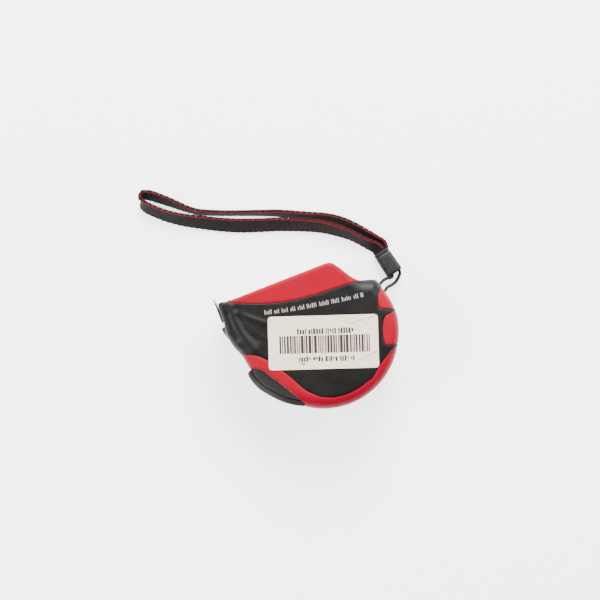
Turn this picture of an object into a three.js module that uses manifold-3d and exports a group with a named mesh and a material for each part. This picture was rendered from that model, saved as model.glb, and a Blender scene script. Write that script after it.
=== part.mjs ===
// Pocket tape measure with a wrist strap, lying on its belt clip. Millimetres, +Z up.
// The origin is on the reel's axis at the clip's flat outer face. +X runs from the mouth to the
// heel, +Y points out of the flat base of the case, and +Z comes out of the labelled side.
import * as THREE from 'three';
import { mergeVertices } from 'three/addons/utils/BufferGeometryUtils.js';
import Module from 'manifold-3d';

const wasm = await Module();
wasm.setup();

// ---------- driving dimensions ----------
const GAP = 0.3;
const CASE_LOW = 4;
const CASE_HIGH = 37;
const CASE_MIDDLE = (CASE_LOW + CASE_HIGH) / 2;
const PARTING_GAP = 0.05;
const EDGE_RADIUS = 6;
const SIDE_WALL = 3.8;
const FACE_WALL = 3.5;
const GRIP_DEPTH = 1.3;
const CROWN = { x: -1.4, y: 3.9, r: 34.4 };
const BASE_Y = 34;

const BLADE_WIDTH = 19;
const BLADE_Y = 25;
const BLADE_CAMBER = 1.3;
const BLADE_THICKNESS = 0.3;
const BLADE_LOW = CASE_MIDDLE - BLADE_WIDTH / 2;
const BLADE_HIGH = CASE_MIDDLE + BLADE_WIDTH / 2;
const BLADE_START = -42.2;

const COIL = { inner: 18.8, outer: 24.4 };
const DRUM = { inner: 17, outer: 18.5, bore: 3.4, low: 10.4, high: 30.6, web: 1.2 };
const ARBOR_RADIUS = 3;
const SPRING = { inner: 4.5, outer: 16.2, turns: 6.5, thickness: 0.35, low: 12.2, high: 28.8 };
const WASHER = { outer: 7.5, thickness: 0.6 };

const MOUTH = { low: 23.9, high: 28.6, side: 0.4, back: -36 };
const HOOK = { outer: -43.5, inner: -42.7, top: 25.9, foot: 37.1, tongue: -32.6, thickness: 0.7 };
const HOOK_PLAY = 0.8;
const RIVET = { shank: 0.9, head: 1.6, headHeight: 0.5 };
const RIVETS = [[-40.2, CASE_MIDDLE - 4], [-40.2, CASE_MIDDLE + 4], [-35.4, CASE_MIDDLE]];

const SCREW = { shank: 1.1, head: 2.1, headLow: 5.7, headHigh: 7, tip: 31, clear: 1.4, bore: 2.4 };
const SCREWS = [[-27, 30.4], [10, 29.5], [27.2, -10.5], [-11, -25.8]];
const BOSS_RADIUS = 2.8;

const LOCK_TRAVEL = 9;
const TRACK = {
  low: 11.2, high: 29.8, start: 184, end: 236, floor: 26, groove: 35.4, grooveStart: 172,
  skirtInner: 28.4, skirtOuter: 30.7, skirtEnd: 246, armOuter: 31.8,
};
const BUTTON = {
  low: 11.5, high: 29.5, pad: 1.9, skirt: 28.8, skirtOuter: 30.2, armOuter: 31.2, lip: 36.9, step: 194.5,
  cheek: 1.3,
};

const PIN = { x: 28.6, y: 13.2, r: 1, low: 13, high: 28 };
const NOTCH = { x: 25.5, yLow: 9.8, yHigh: 17.8, zLow: 16.5, zHigh: 24.5 };

const CLIP = { half: 7, root: -26, split: -14.6, bend: -11, flatEnd: 17.5, tip: 22.5, thickness: 1 };
const CLIP_ROOT_LOW = 2.7;
const CLIP_SCREW = { y: -20.5, head: 2.6, headLow: 1.4, shankTip: 8.5, boss: 9.6 };

const LABEL = { x: -3.2, y: 0.3, length: 50.6, width: 24.6, corner: 1.5, thickness: 0.2, turn: -19.8 };

const CORD_DIAMETER = 1.6;
const CORD_STEPS = 26;
const WEBBING = { width: 8.6, endWidth: 7, taper: 0.12, thickness: 1.1, across: [0.36, 0.93] };
const WEBBING_STEPS = 60;
const JOINER = { from: [41.8, 20.8], to: [39.4, 32.1], cordEnd: 8, webbingEnd: 7.4, height: 5.6 };

// ---------- materials ----------
const finish = (color, roughness, metalness = 0) =>
  new THREE.MeshStandardMaterial({ color, roughness, metalness });
const MATERIAL = {
  shell: finish(0xd6263c, 0.35),
  rubber: finish(0x2b2827, 0.75),
  plastic: finish(0x1c1b1b, 0.5),
  reel: finish(0x3a3d42, 0.5),
  label: finish(0xe9dfd3, 0.85),
  steel: finish(0xb9bcc0, 0.3, 1),
  chrome: finish(0xd8d8da, 0.12, 1),
  tape: finish(0xe8c531, 0.4),
  strap: finish(0x191717, 0.95),
};

// ---------- plane curves ----------
function polar(radius, degrees, centre = CROWN) {
  const angle = THREE.MathUtils.degToRad(degrees);
  return [centre.x + radius * Math.cos(angle), centre.y + radius * Math.sin(angle)];
}

function arc(radius, from, to, steps, centre = CROWN) {
  const points = [];
  for (let i = 0; i <= steps; i += 1) {
    points.push(polar(radius, from + ((to - from) * i) / steps, centre));
  }
  return points;
}

function smooth(points, steps) {
  const curve = new THREE.SplineCurve(points.map(([x, y]) => new THREE.Vector2(x, y)));
  return curve.getPoints(steps).map((point) => [point.x, point.y]);
}

function sector(inner, outer, from, to, steps, centre = CROWN) {
  return [...arc(outer, from, to, steps, centre), ...arc(inner, to, from, steps, centre)];
}

function turned(points, degrees, centre = CROWN) {
  const pivot = new THREE.Vector2(centre.x, centre.y);
  const angle = THREE.MathUtils.degToRad(degrees);
  return points.map(([x, y]) => new THREE.Vector2(x, y).rotateAround(pivot, angle).toArray());
}

function distanceToOutline(point, outline) {
  let nearest = Infinity;
  outline.forEach((start, i) => {
    const end = outline[(i + 1) % outline.length];
    const dx = end[0] - start[0];
    const dy = end[1] - start[1];
    const along = ((point[0] - start[0]) * dx + (point[1] - start[1]) * dy) / (dx * dx + dy * dy);
    const t = THREE.MathUtils.clamp(along, 0, 1);
    const gap = Math.hypot(point[0] - start[0] - t * dx, point[1] - start[1] - t * dy);
    nearest = Math.min(nearest, gap);
  });
  return nearest;
}

function leftNormal(a, b) {
  const length = Math.hypot(b[0] - a[0], b[1] - a[1]);
  return [-(b[1] - a[1]) / length, (b[0] - a[0]) / length];
}

function crossing(p, p2, q, q2) {
  const [rx, ry] = [p2[0] - p[0], p2[1] - p[1]];
  const [sx, sy] = [q2[0] - q[0], q2[1] - q[1]];
  const t = ((q[0] - p[0]) * sy - (q[1] - p[1]) * sx) / (rx * sy - ry * sx);
  return [p[0] + t * rx, p[1] + t * ry];
}

// Moves a counter-clockwise outline inwards. Corners that would cross meet in one point, so the
// result has as many points as the outline and can be lofted to it.
function inset(outline, distance) {
  const count = outline.length;
  const at = (i) => outline[(i + count) % count];
  const moved = outline.map((point, i) => {
    const before = leftNormal(at(i - 1), point);
    const after = leftNormal(point, at(i + 1));
    const scale = distance / (1 + before[0] * after[0] + before[1] * after[1]);
    return [point[0] + (before[0] + after[0]) * scale, point[1] + (before[1] + after[1]) * scale];
  });
  const good = moved.map((point) => distanceToOutline(point, outline) > distance - 0.03);
  const first = good.indexOf(true);
  for (let step = 0; step < count; step += 1) {
    const i = (first + step) % count;
    const next = (i + 1) % count;
    if (good[i] && !good[next]) {
      let last = next;
      while (!good[last]) last = (last + 1) % count;
      const alongStart = at(i + 1).map((value, axis) => moved[i][axis] + value - at(i)[axis]);
      const alongEnd = at(last - 1).map((value, axis) => moved[last][axis] + value - at(last)[axis]);
      const meeting = crossing(moved[i], alongStart, moved[last], alongEnd);
      for (let k = next; k !== last; k = (k + 1) % count) moved[k] = meeting;
    }
  }
  return moved;
}

// ---------- solids ----------
function toSolid(geometry) {
  geometry.deleteAttribute('normal');
  geometry.deleteAttribute('uv');
  const merged = mergeVertices(geometry, 1e-4);
  const index = merged.index.array;
  const position = merged.attributes.position;
  const corner = new THREE.Vector3();
  const triangle = (i) => [index[i], index[i + 1], index[i + 2]];
  let triangles = [];
  let volume = 0;
  for (let i = 0; i < index.length; i += 3) {
    const [a, b, c] = triangle(i);
    if (a !== b && b !== c && c !== a) {
      const [pa, pb, pc] = [a, b, c].map((v) => corner.fromBufferAttribute(position, v).clone());
      volume += pa.dot(pb.cross(pc));
      triangles.push([a, b, c]);
    }
  }
  if (volume < 0) triangles = triangles.map(([a, b, c]) => [a, c, b]);
  const vertProperties = new Float32Array(position.array);
  const triVerts = new Uint32Array(triangles.flat());
  return new wasm.Manifold(new wasm.Mesh({ numProp: 3, vertProperties, triVerts }));
}

function toGeometry(solid) {
  const mesh = solid.getMesh();
  const geometry = new THREE.BufferGeometry();
  geometry.setAttribute('position', new THREE.BufferAttribute(mesh.vertProperties, mesh.numProp));
  geometry.setIndex(new THREE.BufferAttribute(mesh.triVerts, 1));
  geometry.computeVertexNormals();
  return geometry;
}

function prism(points, low, high) {
  const shape = new THREE.Shape(points.map(([x, y]) => new THREE.Vector2(x, y)));
  const geometry = new THREE.ExtrudeGeometry(shape, { depth: high - low, bevelEnabled: false });
  return toSolid(geometry.translate(0, 0, low));
}

// An outline given as (y, z) pairs, drawn out along X.
function prismAlongX(points, low, high) {
  const shape = new THREE.Shape(points.map(([y, z]) => new THREE.Vector2(y, z)));
  const geometry = new THREE.ExtrudeGeometry(shape, { depth: high - low, bevelEnabled: false });
  const axes = new THREE.Matrix4().set(0, 0, 1, low, 1, 0, 0, 0, 0, 1, 0, 0, 0, 0, 0, 1);
  return toSolid(geometry.applyMatrix4(axes));
}

function block(xLow, xHigh, yLow, yHigh, zLow, zHigh) {
  const geometry = new THREE.BoxGeometry(xHigh - xLow, yHigh - yLow, zHigh - zLow);
  geometry.translate((xLow + xHigh) / 2, (yLow + yHigh) / 2, (zLow + zHigh) / 2);
  return toSolid(geometry);
}

function cylinder(x, y, radius, low, high, segments = 16) {
  const geometry = new THREE.CylinderGeometry(radius, radius, high - low, segments);
  geometry.rotateX(Math.PI / 2);
  return toSolid(geometry.translate(x, y, (low + high) / 2));
}

// A profile of (radius, z) pairs turned about the vertical line through (x, y).
function turnedSolid(profile, segments, x = 0, y = 0) {
  const closed = [...profile, profile[0]].map(([radius, z]) => new THREE.Vector2(radius, z));
  const geometry = new THREE.LatheGeometry(closed, segments);
  geometry.rotateX(Math.PI / 2);
  return toSolid(geometry.translate(x, y, 0));
}

function loft(rings) {
  const positions = [];
  const indices = [];
  const count = rings[0].points.length;
  rings.forEach(({ points, z }) => points.forEach(([x, y]) => positions.push(x, y, z)));
  for (let level = 0; level + 1 < rings.length; level += 1) {
    for (let i = 0; i < count; i += 1) {
      const [a, b] = [level * count + i, level * count + ((i + 1) % count)];
      indices.push(a, b, b + count, a, b + count, a + count);
    }
  }
  for (const level of [0, rings.length - 1]) {
    const { points } = rings[level];
    const kept = points.map((_, i) => i).filter((i) => {
      const next = points[(i + 1) % count];
      return Math.hypot(points[i][0] - next[0], points[i][1] - next[1]) > 1e-3;
    });
    const contour = kept.map((i) => new THREE.Vector2(...points[i]));
    for (const [a, b, c] of THREE.ShapeUtils.triangulateShape(contour, [])) {
      const face = [a, b, c].map((v) => level * count + kept[v]);
      indices.push(...(level === 0 ? face.reverse() : face));
    }
  }
  const geometry = new THREE.BufferGeometry();
  geometry.setAttribute('position', new THREE.Float32BufferAttribute(positions, 3));
  geometry.setIndex(indices);
  return toSolid(geometry);
}

// ---------- outlines of the case ----------
const FRONT = [
  [-42.3, 25.5], [-43.3, 20.6], [-42.9, 16.4], [-41.9, 12.5], [-40.6, 9.6], [-39.9, 6], [-39.2, 1],
];
const HEEL = [[26.6, 19.8], [24.2, 20.5], [21.6, 22.1], [19.4, 24.6], [16.6, 29.4]];
const OUTLINE = [
  [-42.2, BASE_Y],
  ...smooth(FRONT, 12),
  [-37.5, -5],
  [-33.5, -11.5],
  ...arc(CROWN.r, 220, 374, 28),
  [30.4, 18.6],
  ...smooth(HEEL, 7),
  [13.4, BASE_Y],
];
const HOLLOW_OUTLINE = inset(OUTLINE, SIDE_WALL);

// The case is cut back along this line beside the lock button.
const RECESS = smooth(
  [[-21.1, -22.9], [-23.5, -18.8], [-26.2, -14.3], [-29.1, -9.2], [-31.6, -5.3], [-34, -1.4], [-38.6, 1.5]],
  12,
);
const RECESS_INNER = RECESS.map((point, i) => {
  const from = RECESS[Math.max(i - 1, 0)];
  const to = RECESS[Math.min(i + 1, RECESS.length - 1)];
  const [nx, ny] = leftNormal(from, to);
  return [point[0] - nx * SIDE_WALL, point[1] - ny * SIDE_WALL];
});
const beyondRecess = (line) => [...line, [-60, line.at(-1)[1]], [-60, -60], [-32, -40]];

const GRIP_OUTLINE = [
  ...smooth([[-41.8, 34.3], [-32.4, 30.8], [-19.4, 26], [-5.9, 22.7], [8.2, 20.9], [23.4, 20.4]], 14),
  [27, 21.6],
  [40, 21.6],
  [40, 14],
  ...smooth([[31.1, 13.8], [28.8, 11.8], [27.3, 9], [26.8, 5.6], [31.1, 3.6]], 8),
  [40, 3.4],
  [40, 1.8],
  ...smooth([[31, 1.6], [27.4, 0.8], [25.2, -2.4], [23.4, -7.4], [23.6, -11.4], [28.7, -12.7]], 10),
  [40, -13],
  [40, -14.8],
  ...smooth([[28, -14.3], [25.5, -14.6], [19.3, -17.7], [11.7, -23.4]], 6),
  ...arc(29.8, 291, 256, 7),
  ...smooth([[-13.6, -22.6], [-18.9, -17.1], [-23.2, -9], [-29.9, 1.5], [-34.6, 6], [-39.7, 8.2]], 12),
  [-50, 8.4],
  [-50, 34.3],
];

// ---------- the two halves of the case ----------
// side is 1 for the labelled half and -1 for the clip half; depth is how far below the skin.
function halfBody(side, depth) {
  const face = side > 0 ? CASE_HIGH : CASE_LOW;
  const centre = face - side * EDGE_RADIUS;
  const radius = EDGE_RADIUS - depth;
  const rings = [{ points: inset(OUTLINE, depth), z: CASE_MIDDLE + side * PARTING_GAP }];
  for (const degrees of [0, 30, 60, 90]) {
    const angle = THREE.MathUtils.degToRad(degrees);
    const inward = depth + radius * (1 - Math.cos(angle));
    rings.push({ points: inset(OUTLINE, inward), z: centre + side * radius * Math.sin(angle) });
  }
  return loft(side > 0 ? rings : rings.reverse());
}

function hollow(side) {
  const low = side > 0 ? CASE_MIDDLE - 1 : CASE_LOW + FACE_WALL;
  const high = side > 0 ? CASE_HIGH - FACE_WALL : CASE_MIDDLE + 1;
  const space = prism(HOLLOW_OUTLINE, low, high);
  return space.subtract(prism(beyondRecess(RECESS_INNER), low - 1, high + 1));
}

function mouthZone() {
  return block(-50, -38, MOUTH.low, 33.2, BLADE_LOW - MOUTH.side, BLADE_HIGH + MOUTH.side);
}

function gripRegion(side, grow) {
  const outline = grow > 0 ? inset(GRIP_OUTLINE, grow) : GRIP_OUTLINE;
  let region = prism(outline, CASE_LOW - 1, CASE_HIGH + 1);
  const baseSkinY = BASE_Y - GRIP_DEPTH - 0.1 + grow;
  const baseSkin = block(-40.9 + grow, 60, baseSkinY, 40, CASE_LOW + 1.5 + grow, CASE_HIGH - 1.5 - grow);
  region = region.subtract(baseSkin);
  if (side < 0) {
    const halfWidth = CLIP.half + 1.2 - grow;
    const clipWindow = block(-halfWidth, halfWidth, -40, CLIP.split + 0.8 - grow, 0, CASE_MIDDLE);
    region = region.subtract(clipWindow);
  }
  return region;
}

// Everything that is cut out of the shell and out of the rubber over it.
function commonCuts() {
  const cheekSlot = sector(TRACK.armOuter - 1, TRACK.groove + 1, 174.6, TRACK.start + 1, 4);
  const slotDepth = BUTTON.cheek + 2 * GAP;
  const skirtTrack = sector(TRACK.skirtInner, TRACK.skirtOuter, TRACK.end - 6, TRACK.skirtEnd, 6);
  const armTrack = sector(TRACK.skirtInner, TRACK.armOuter, TRACK.grooveStart, TRACK.start + 1, 4);
  const cuts = [
    prism(beyondRecess(RECESS), 0, 41),
    prism(cheekSlot, TRACK.low, TRACK.low + slotDepth),
    prism(cheekSlot, TRACK.high - slotDepth, TRACK.high),
    prism(sector(TRACK.floor, 50, TRACK.start, TRACK.end, 10), TRACK.low, TRACK.high),
    prism(sector(TRACK.groove, 50, TRACK.grooveStart, TRACK.start + 1, 4), TRACK.low, TRACK.high),
    prism(skirtTrack, TRACK.low, TRACK.high),
    prism(armTrack, TRACK.low, TRACK.high),
    block(-50, MOUTH.back, MOUTH.low, MOUTH.high, BLADE_LOW - MOUTH.side, BLADE_HIGH + MOUTH.side),
    block(NOTCH.x, 40, NOTCH.yLow, NOTCH.yHigh, NOTCH.zLow, NOTCH.zHigh),
    ...SCREWS.map(([x, y]) => cylinder(x, y, SCREW.bore, 0, SCREW.headHigh + GAP)),
  ];
  return wasm.Manifold.union(cuts);
}

const CUTS = commonCuts();

function grip(side) {
  const skin = halfBody(side, 0).subtract(halfBody(side, GRIP_DEPTH));
  let rubber = skin.intersect(gripRegion(side, 0));
  rubber = rubber.add(nose(side)).subtract(mouthZone()).subtract(CUTS);
  return toGeometry(largest(rubber));
}

// Boolean cuts can leave crumbs beside the main body.
function largest(solid) {
  const bodies = solid.decompose();
  bodies.sort((a, b) => b.volume() - a.volume());
  return bodies[0];
}

function nose(side) {
  const profile = [[-42.5, 17.5], [-43.7, 20], [-44.3, 23], [-42.9, 23.8], [-42.2, 23.8], [-42.2, 17.5]];
  const low = side > 0 ? CASE_MIDDLE + PARTING_GAP : BLADE_LOW;
  const high = side > 0 ? BLADE_HIGH : CASE_MIDDLE - PARTING_GAP;
  return prism(profile, low, high);
}

function bosses(side) {
  const inner = CASE_MIDDLE + side * PARTING_GAP;
  const outer = side > 0 ? CASE_HIGH - FACE_WALL + 0.2 : CASE_LOW + FACE_WALL - 0.2;
  const span = [Math.min(inner, outer), Math.max(inner, outer)];
  const solids = SCREWS.map(([x, y]) => cylinder(x, y, BOSS_RADIUS, ...span));
  solids.push(cylinder(PIN.x - 1, PIN.y + 0.2, 3.6, ...span));
  const seat = side > 0 ? [31.8, outer] : [outer, 9.2];
  solids.push(cylinder(0, 0, 8, ...seat, 28));
  if (side < 0) solids.push(cylinder(0, CLIP_SCREW.y, BOSS_RADIUS, outer, CLIP_SCREW.boss));
  return wasm.Manifold.union(solids);
}

function shellHoles(side) {
  const outer = side > 0 ? CASE_HIGH - FACE_WALL : CASE_LOW + FACE_WALL;
  const solids = SCREWS.map(([x, y]) => cylinder(x, y, SCREW.clear, CASE_LOW, SCREW.tip + 0.5));
  solids.push(cylinder(PIN.x, PIN.y, PIN.r + GAP, PIN.low - GAP, PIN.high + GAP));
  const socket = side > 0 ? [31, outer] : [outer, 10];
  solids.push(cylinder(0, 0, ARBOR_RADIUS + GAP, ...socket));
  if (side < 0) {
    const { y, shankTip } = CLIP_SCREW;
    solids.push(cylinder(0, y, SCREW.clear, CASE_LOW - 1, shankTip + GAP));
  }
  return wasm.Manifold.union(solids);
}

function shell(side) {
  const underGrip = gripRegion(side, GAP).subtract(halfBody(side, GRIP_DEPTH + GAP));
  let body = halfBody(side, 0).subtract(hollow(side)).add(bosses(side));
  body = body.intersect(halfBody(side, 0));
  body = body.subtract(underGrip).subtract(CUTS).subtract(shellHoles(side));
  return toGeometry(largest(body));
}

// ---------- label ----------
function label() {
  const { length, width, corner, thickness, turn } = LABEL;
  const rounded = [];
  for (const [sx, sy, from] of [[1, 1, 0], [-1, 1, 90], [-1, -1, 180], [1, -1, 270]]) {
    const centre = { x: LABEL.x + sx * (length / 2 - corner), y: LABEL.y + sy * (width / 2 - corner) };
    rounded.push(...arc(corner, from, from + 90, 4, centre));
  }
  const centre = { x: LABEL.x, y: LABEL.y };
  const low = CASE_HIGH + 0.05;
  return toGeometry(prism(turned(rounded, turn, centre), low, low + thickness));
}

// ---------- reel ----------
function reelDrum() {
  const { inner, outer, bore, low, high, web } = DRUM;
  const wall = [[outer, low], [outer, high], [inner, high], [inner, low + web]];
  return toGeometry(turnedSolid([[bore, low], ...wall, [bore, low + web]], 44));
}

function ring(inner, outer, low, high, segments) {
  const profile = [[inner, low], [outer, low], [outer, high], [inner, high]];
  return toGeometry(turnedSolid(profile, segments));
}

function powerSpring() {
  const { inner, outer, turns, thickness, low, high } = SPRING;
  const steps = Math.round(turns * 18);
  const outside = [];
  const inside = [];
  for (let i = 0; i <= steps; i += 1) {
    const radius = inner + ((outer - inner) * i) / steps;
    const degrees = (360 * turns * i) / steps;
    outside.push(polar(radius + thickness, degrees, { x: 0, y: 0 }));
    inside.push(polar(radius, degrees, { x: 0, y: 0 }));
  }
  return toGeometry(prism([...outside, ...inside.reverse()], low, high));
}

function arborPost() {
  const post = cylinder(0, 0, ARBOR_RADIUS, CASE_LOW + FACE_WALL + GAP, CASE_HIGH - FACE_WALL - GAP, 24);
  const slot = block(-0.45, 0.45, -4, 4, SPRING.low - 0.5, SPRING.high + 0.5);
  return toGeometry(post.subtract(slot));
}

// ---------- blade and hook ----------
// The hollow side of the blade's curve at height z.
function camber(z) {
  const across = (z - CASE_MIDDLE) / (BLADE_WIDTH / 2);
  return BLADE_Y + BLADE_CAMBER * (1 - across * across);
}

function camberedStrip(low, high, offset, thickness, xLow, xHigh) {
  const steps = 8;
  const near = [];
  const far = [];
  for (let i = 0; i <= steps; i += 1) {
    const z = low + ((high - low) * i) / steps;
    near.push([camber(z) + offset, z]);
    far.push([camber(z) + offset + thickness, z]);
  }
  return prismAlongX([...near, ...far.reverse()], xLow, xHigh);
}

function rivetHole(x, z, radius, slot = 0) {
  const hole = new THREE.CylinderGeometry(radius, radius, 8, 14);
  const round = toSolid(hole.translate(x, BLADE_Y + 1, z));
  if (slot === 0) return round;
  const middle = block(x, x + slot, BLADE_Y - 3, BLADE_Y + 5, z - radius, z + radius);
  return round.add(round.translate([slot, 0, 0])).add(middle);
}

function tapeBlade() {
  let blade = camberedStrip(BLADE_LOW, BLADE_HIGH, 0, BLADE_THICKNESS, BLADE_START, -1);
  for (const [x, z] of RIVETS) blade = blade.subtract(rivetHole(x, z, RIVET.shank + GAP));
  return toGeometry(blade);
}

function hookRivet(x, z) {
  const upper = BLADE_Y - 0.1;
  const lower = BLADE_Y + 2.9;
  const { shank, head, headHeight } = RIVET;
  const profile = [
    [0, upper], [head, upper + 0.1], [head, upper + headHeight], [shank, upper + headHeight],
    [shank, lower], [head, lower], [head, lower + headHeight - 0.1], [0, lower + headHeight],
  ];
  const points = profile.map(([radius, y]) => new THREE.Vector2(radius, y));
  return toGeometry(toSolid(new THREE.LatheGeometry(points, 14).translate(x, 0, z)));
}

function endHook() {
  const offset = BLADE_THICKNESS + GAP;
  const { outer, inner, top, foot, tongue, thickness } = HOOK;
  let hook = camberedStrip(BLADE_LOW + 2, BLADE_HIGH - 2, offset, thickness, outer, tongue);
  hook = hook.add(block(outer, inner, top, foot, BLADE_LOW, BLADE_HIGH));
  const nailSlot = new THREE.CylinderGeometry(1, 1, 6, 16);
  nailSlot.rotateZ(Math.PI / 2).translate(outer, 32.6, CASE_MIDDLE);
  hook = hook.subtract(toSolid(nailSlot));
  for (const [x, z] of RIVETS) {
    hook = hook.subtract(rivetHole(x, z, RIVET.shank + GAP, HOOK_PLAY + GAP));
  }
  return toGeometry(hook);
}

function mouthGuide() {
  return toGeometry(block(-38.2, -30.5, 29.3, 29.9, BLADE_LOW, BLADE_HIGH));
}

function mouthBumper() {
  return toGeometry(block(-42.3, -41, 29, 32.9, BLADE_LOW, BLADE_HIGH));
}

// ---------- lock ----------
// Outer curve of the button as (radius, angle) about the crown's centre.
const BUTTON_CURVE = [
  [37.3, 184.2], [39.4, 185.4], [40, 188], [39.7, 194], [38.8, 201.6], [36.9, 215], [35.5, 226], [34.3, 234],
];

function buttonCurve(depth) {
  return smooth(BUTTON_CURVE.map(([radius, degrees]) => polar(radius - depth, degrees)), 22);
}

function lockButton() {
  const { low, high, pad, skirt, skirtOuter, armOuter, lip, step, cheek } = BUTTON;
  const crescent = buttonCurve(pad + GAP).slice(1);
  const underside = [polar(29.5, 234), ...arc(29.5, 230, step, 6), polar(lip, step), polar(lip, 185.4)];
  const foot = [[-35.2, 21.9], [-27.5, 21.9], [-25.6, 18.4], [-26.4, 16.8], [-30.6, 18.6], [-35.2, 19.6]];
  const cheekSide = sector(armOuter - 0.4, lip + 0.1, 185.6, step + 0.5, 3);
  return toGeometry(wasm.Manifold.union([
    prism([...crescent, ...underside], low, high),
    prism(sector(skirt, skirtOuter, TRACK.start, 243, 12), low, high),
    prism(sector(skirt, armOuter, 158, step, 8), low, high),
    prism(turned(foot, LOCK_TRAVEL), low, high),
    prism(cheekSide, low, low + cheek),
    prism(cheekSide, high - cheek, high),
  ]));
}

function thumbPad() {
  const outer = buttonCurve(0).slice(1, -1);
  const inner = buttonCurve(BUTTON.pad).slice(1, -1);
  return toGeometry(prism([...outer, ...inner.reverse()], BUTTON.low, BUTTON.high));
}

function brakeShoe() {
  const locked = [[-35.2, 22.2], [-29, 22.2], [-29, 24.6], [-35.2, 24.6]];
  return toGeometry(prism(turned(locked, LOCK_TRAVEL), BUTTON.low + 0.5, BUTTON.high - 0.5));
}

function detentSpring() {
  return toGeometry(prism(sector(27.3, 27.8, 206, 232, 8), BUTTON.low + 4, BUTTON.high - 4));
}

// ---------- belt clip and screws ----------
function clipRoot() {
  const { half, root, split, thickness } = CLIP;
  const plate = block(-half, half, root, split - GAP, CLIP_ROOT_LOW, CLIP_ROOT_LOW + thickness);
  return toGeometry(plate.subtract(cylinder(0, CLIP_SCREW.y, SCREW.clear, 0, CASE_LOW)));
}

function clipArm() {
  const { split, bend, flatEnd, tip, thickness, half } = CLIP;
  const top = CLIP_ROOT_LOW + thickness;
  const profile = [
    [split, top], [split, CLIP_ROOT_LOW], [bend, 0], [flatEnd, 0], [tip, CLIP_ROOT_LOW - 0.2],
    [tip, CLIP_ROOT_LOW + 0.8], [flatEnd - 0.4, thickness], [bend + 0.6, thickness],
  ];
  return toGeometry(prismAlongX(profile, -half, half));
}

function caseScrew(x, y) {
  const { head, headLow, headHigh, shank, tip } = SCREW;
  const headSide = [[0, headLow], [head, headLow], [head, headHigh]];
  const shankSide = [[shank, headHigh], [shank, tip], [0, tip]];
  return toGeometry(turnedSolid([...headSide, ...shankSide], 16, x, y));
}

function clipScrew() {
  const { head, headLow, shankTip, y } = CLIP_SCREW;
  const headHigh = CLIP_ROOT_LOW - GAP;
  const headSide = [[0, headLow], [head, headLow], [head, headHigh]];
  const shankSide = [[SCREW.shank, headHigh], [SCREW.shank, shankTip], [0, shankTip]];
  return toGeometry(turnedSolid([...headSide, ...shankSide], 20, 0, y));
}

// ---------- wrist strap ----------
// The cord runs out of the joiner, round the pin and back.
const CORD_ROUTE = [
  [40.6, 20, 3], [40.2, 18.9, 3.2], [38.9, 18.6, 4.6], [37.2, 18.7, 7.2], [35.2, 18.3, 11.2], [33, 17.2, 16],
  [30.8, 15.9, 20.1], [28.2, 15.5, 20.6], [26.6, 14.3, 20.6], [26.6, 12.1, 20.6], [28.2, 10.9, 20.6],
  [30.8, 11.7, 20.2], [33.7, 13.3, 16.6], [35.2, 14.3, 11.7], [37.6, 14.9, 7.4], [40.2, 15.6, 4.2],
  [42.4, 17.1, 3], [44.1, 18.9, 3], [44.5, 20.6, 3],
];

// Centre line of the webbing on the table as x, y and lean: 0 lies flat and 90 stands on edge.
const WEBBING_ROUTE = [
  [38.4, 34, 38], [36.3, 36.3, 50], [33.8, 39, 60], [29.2, 44.1, 62], [24.6, 48.2, 58],
  [18.6, 52.6, 55], [12.2, 56.1, 52], [-0.9, 61.8, 48], [-10.1, 65, 47], [-19.1, 68.3, 46],
  [-27.8, 72.3, 49], [-36.4, 76.8, 53], [-44.8, 81.6, 60], [-50.9, 86, 65], [-56, 90.8, 68],
  [-58.6, 94, 72], [-59, 97, 75], [-57, 98.8, 76], [-54.2, 97.6, 76], [-50.3, 94.4, 76],
  [-46.4, 91, 77], [-42.7, 87.5, 78], [-39, 84.2, 80], [-34.9, 81.4, 82], [-26.1, 77.4, 84],
  [-17.2, 73.9, 84], [-8.1, 70.4, 82], [0.9, 66.7, 78], [14, 60, 70], [20.6, 56.6, 66],
  [26.8, 52.2, 64], [31.6, 47.4, 62], [36.2, 41.8, 58], [39.2, 37.6, 50], [41, 34.3, 38],
];

function cord() {
  const curve = new THREE.CatmullRomCurve3(CORD_ROUTE.map((point) => new THREE.Vector3(...point)));
  const section = arc(CORD_DIAMETER / 2, 0, 315, 7, { x: 0, y: 0 });
  const shape = new THREE.Shape(section.map(([x, y]) => new THREE.Vector2(x, y)));
  const options = { steps: CORD_STEPS, extrudePath: curve, bevelEnabled: false };
  return toGeometry(toSolid(new THREE.ExtrudeGeometry(shape, options)));
}

// The four corners of the webbing at t along its route. Its upper edge leans towards the base
// side of the case along both runs, and its lower edge rests on the table.
function webbingSection(route, t) {
  const { endWidth, taper, thickness, across } = WEBBING;
  const spread = THREE.MathUtils.smoothstep(Math.min(t, 1 - t), 0, taper);
  const width = THREE.MathUtils.lerp(endWidth, WEBBING.width, spread);
  const { x, y, z: lean } = route.getPoint(t);
  const tangent = route.getTangent(t).setZ(0).normalize();
  const tilt = THREE.MathUtils.degToRad(lean);
  const level = new THREE.Vector3(...across, 0);
  level.addScaledVector(tangent, -0.9 * level.dot(tangent)).normalize();
  const wide = level.multiplyScalar(Math.cos(tilt)).setZ(Math.sin(tilt));
  const thick = new THREE.Vector3().crossVectors(tangent, wide).normalize();
  const rise = (width / 2) * Math.sin(tilt) + (thickness / 2) * Math.abs(thick.z) + 0.05;
  return [[-1, -1], [1, -1], [1, 1], [-1, 1]].flatMap(([u, v]) => {
    const corner = new THREE.Vector3(x, y, rise).addScaledVector(wide, (u * width) / 2);
    return corner.addScaledVector(thick, (v * thickness) / 2).toArray();
  });
}

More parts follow.
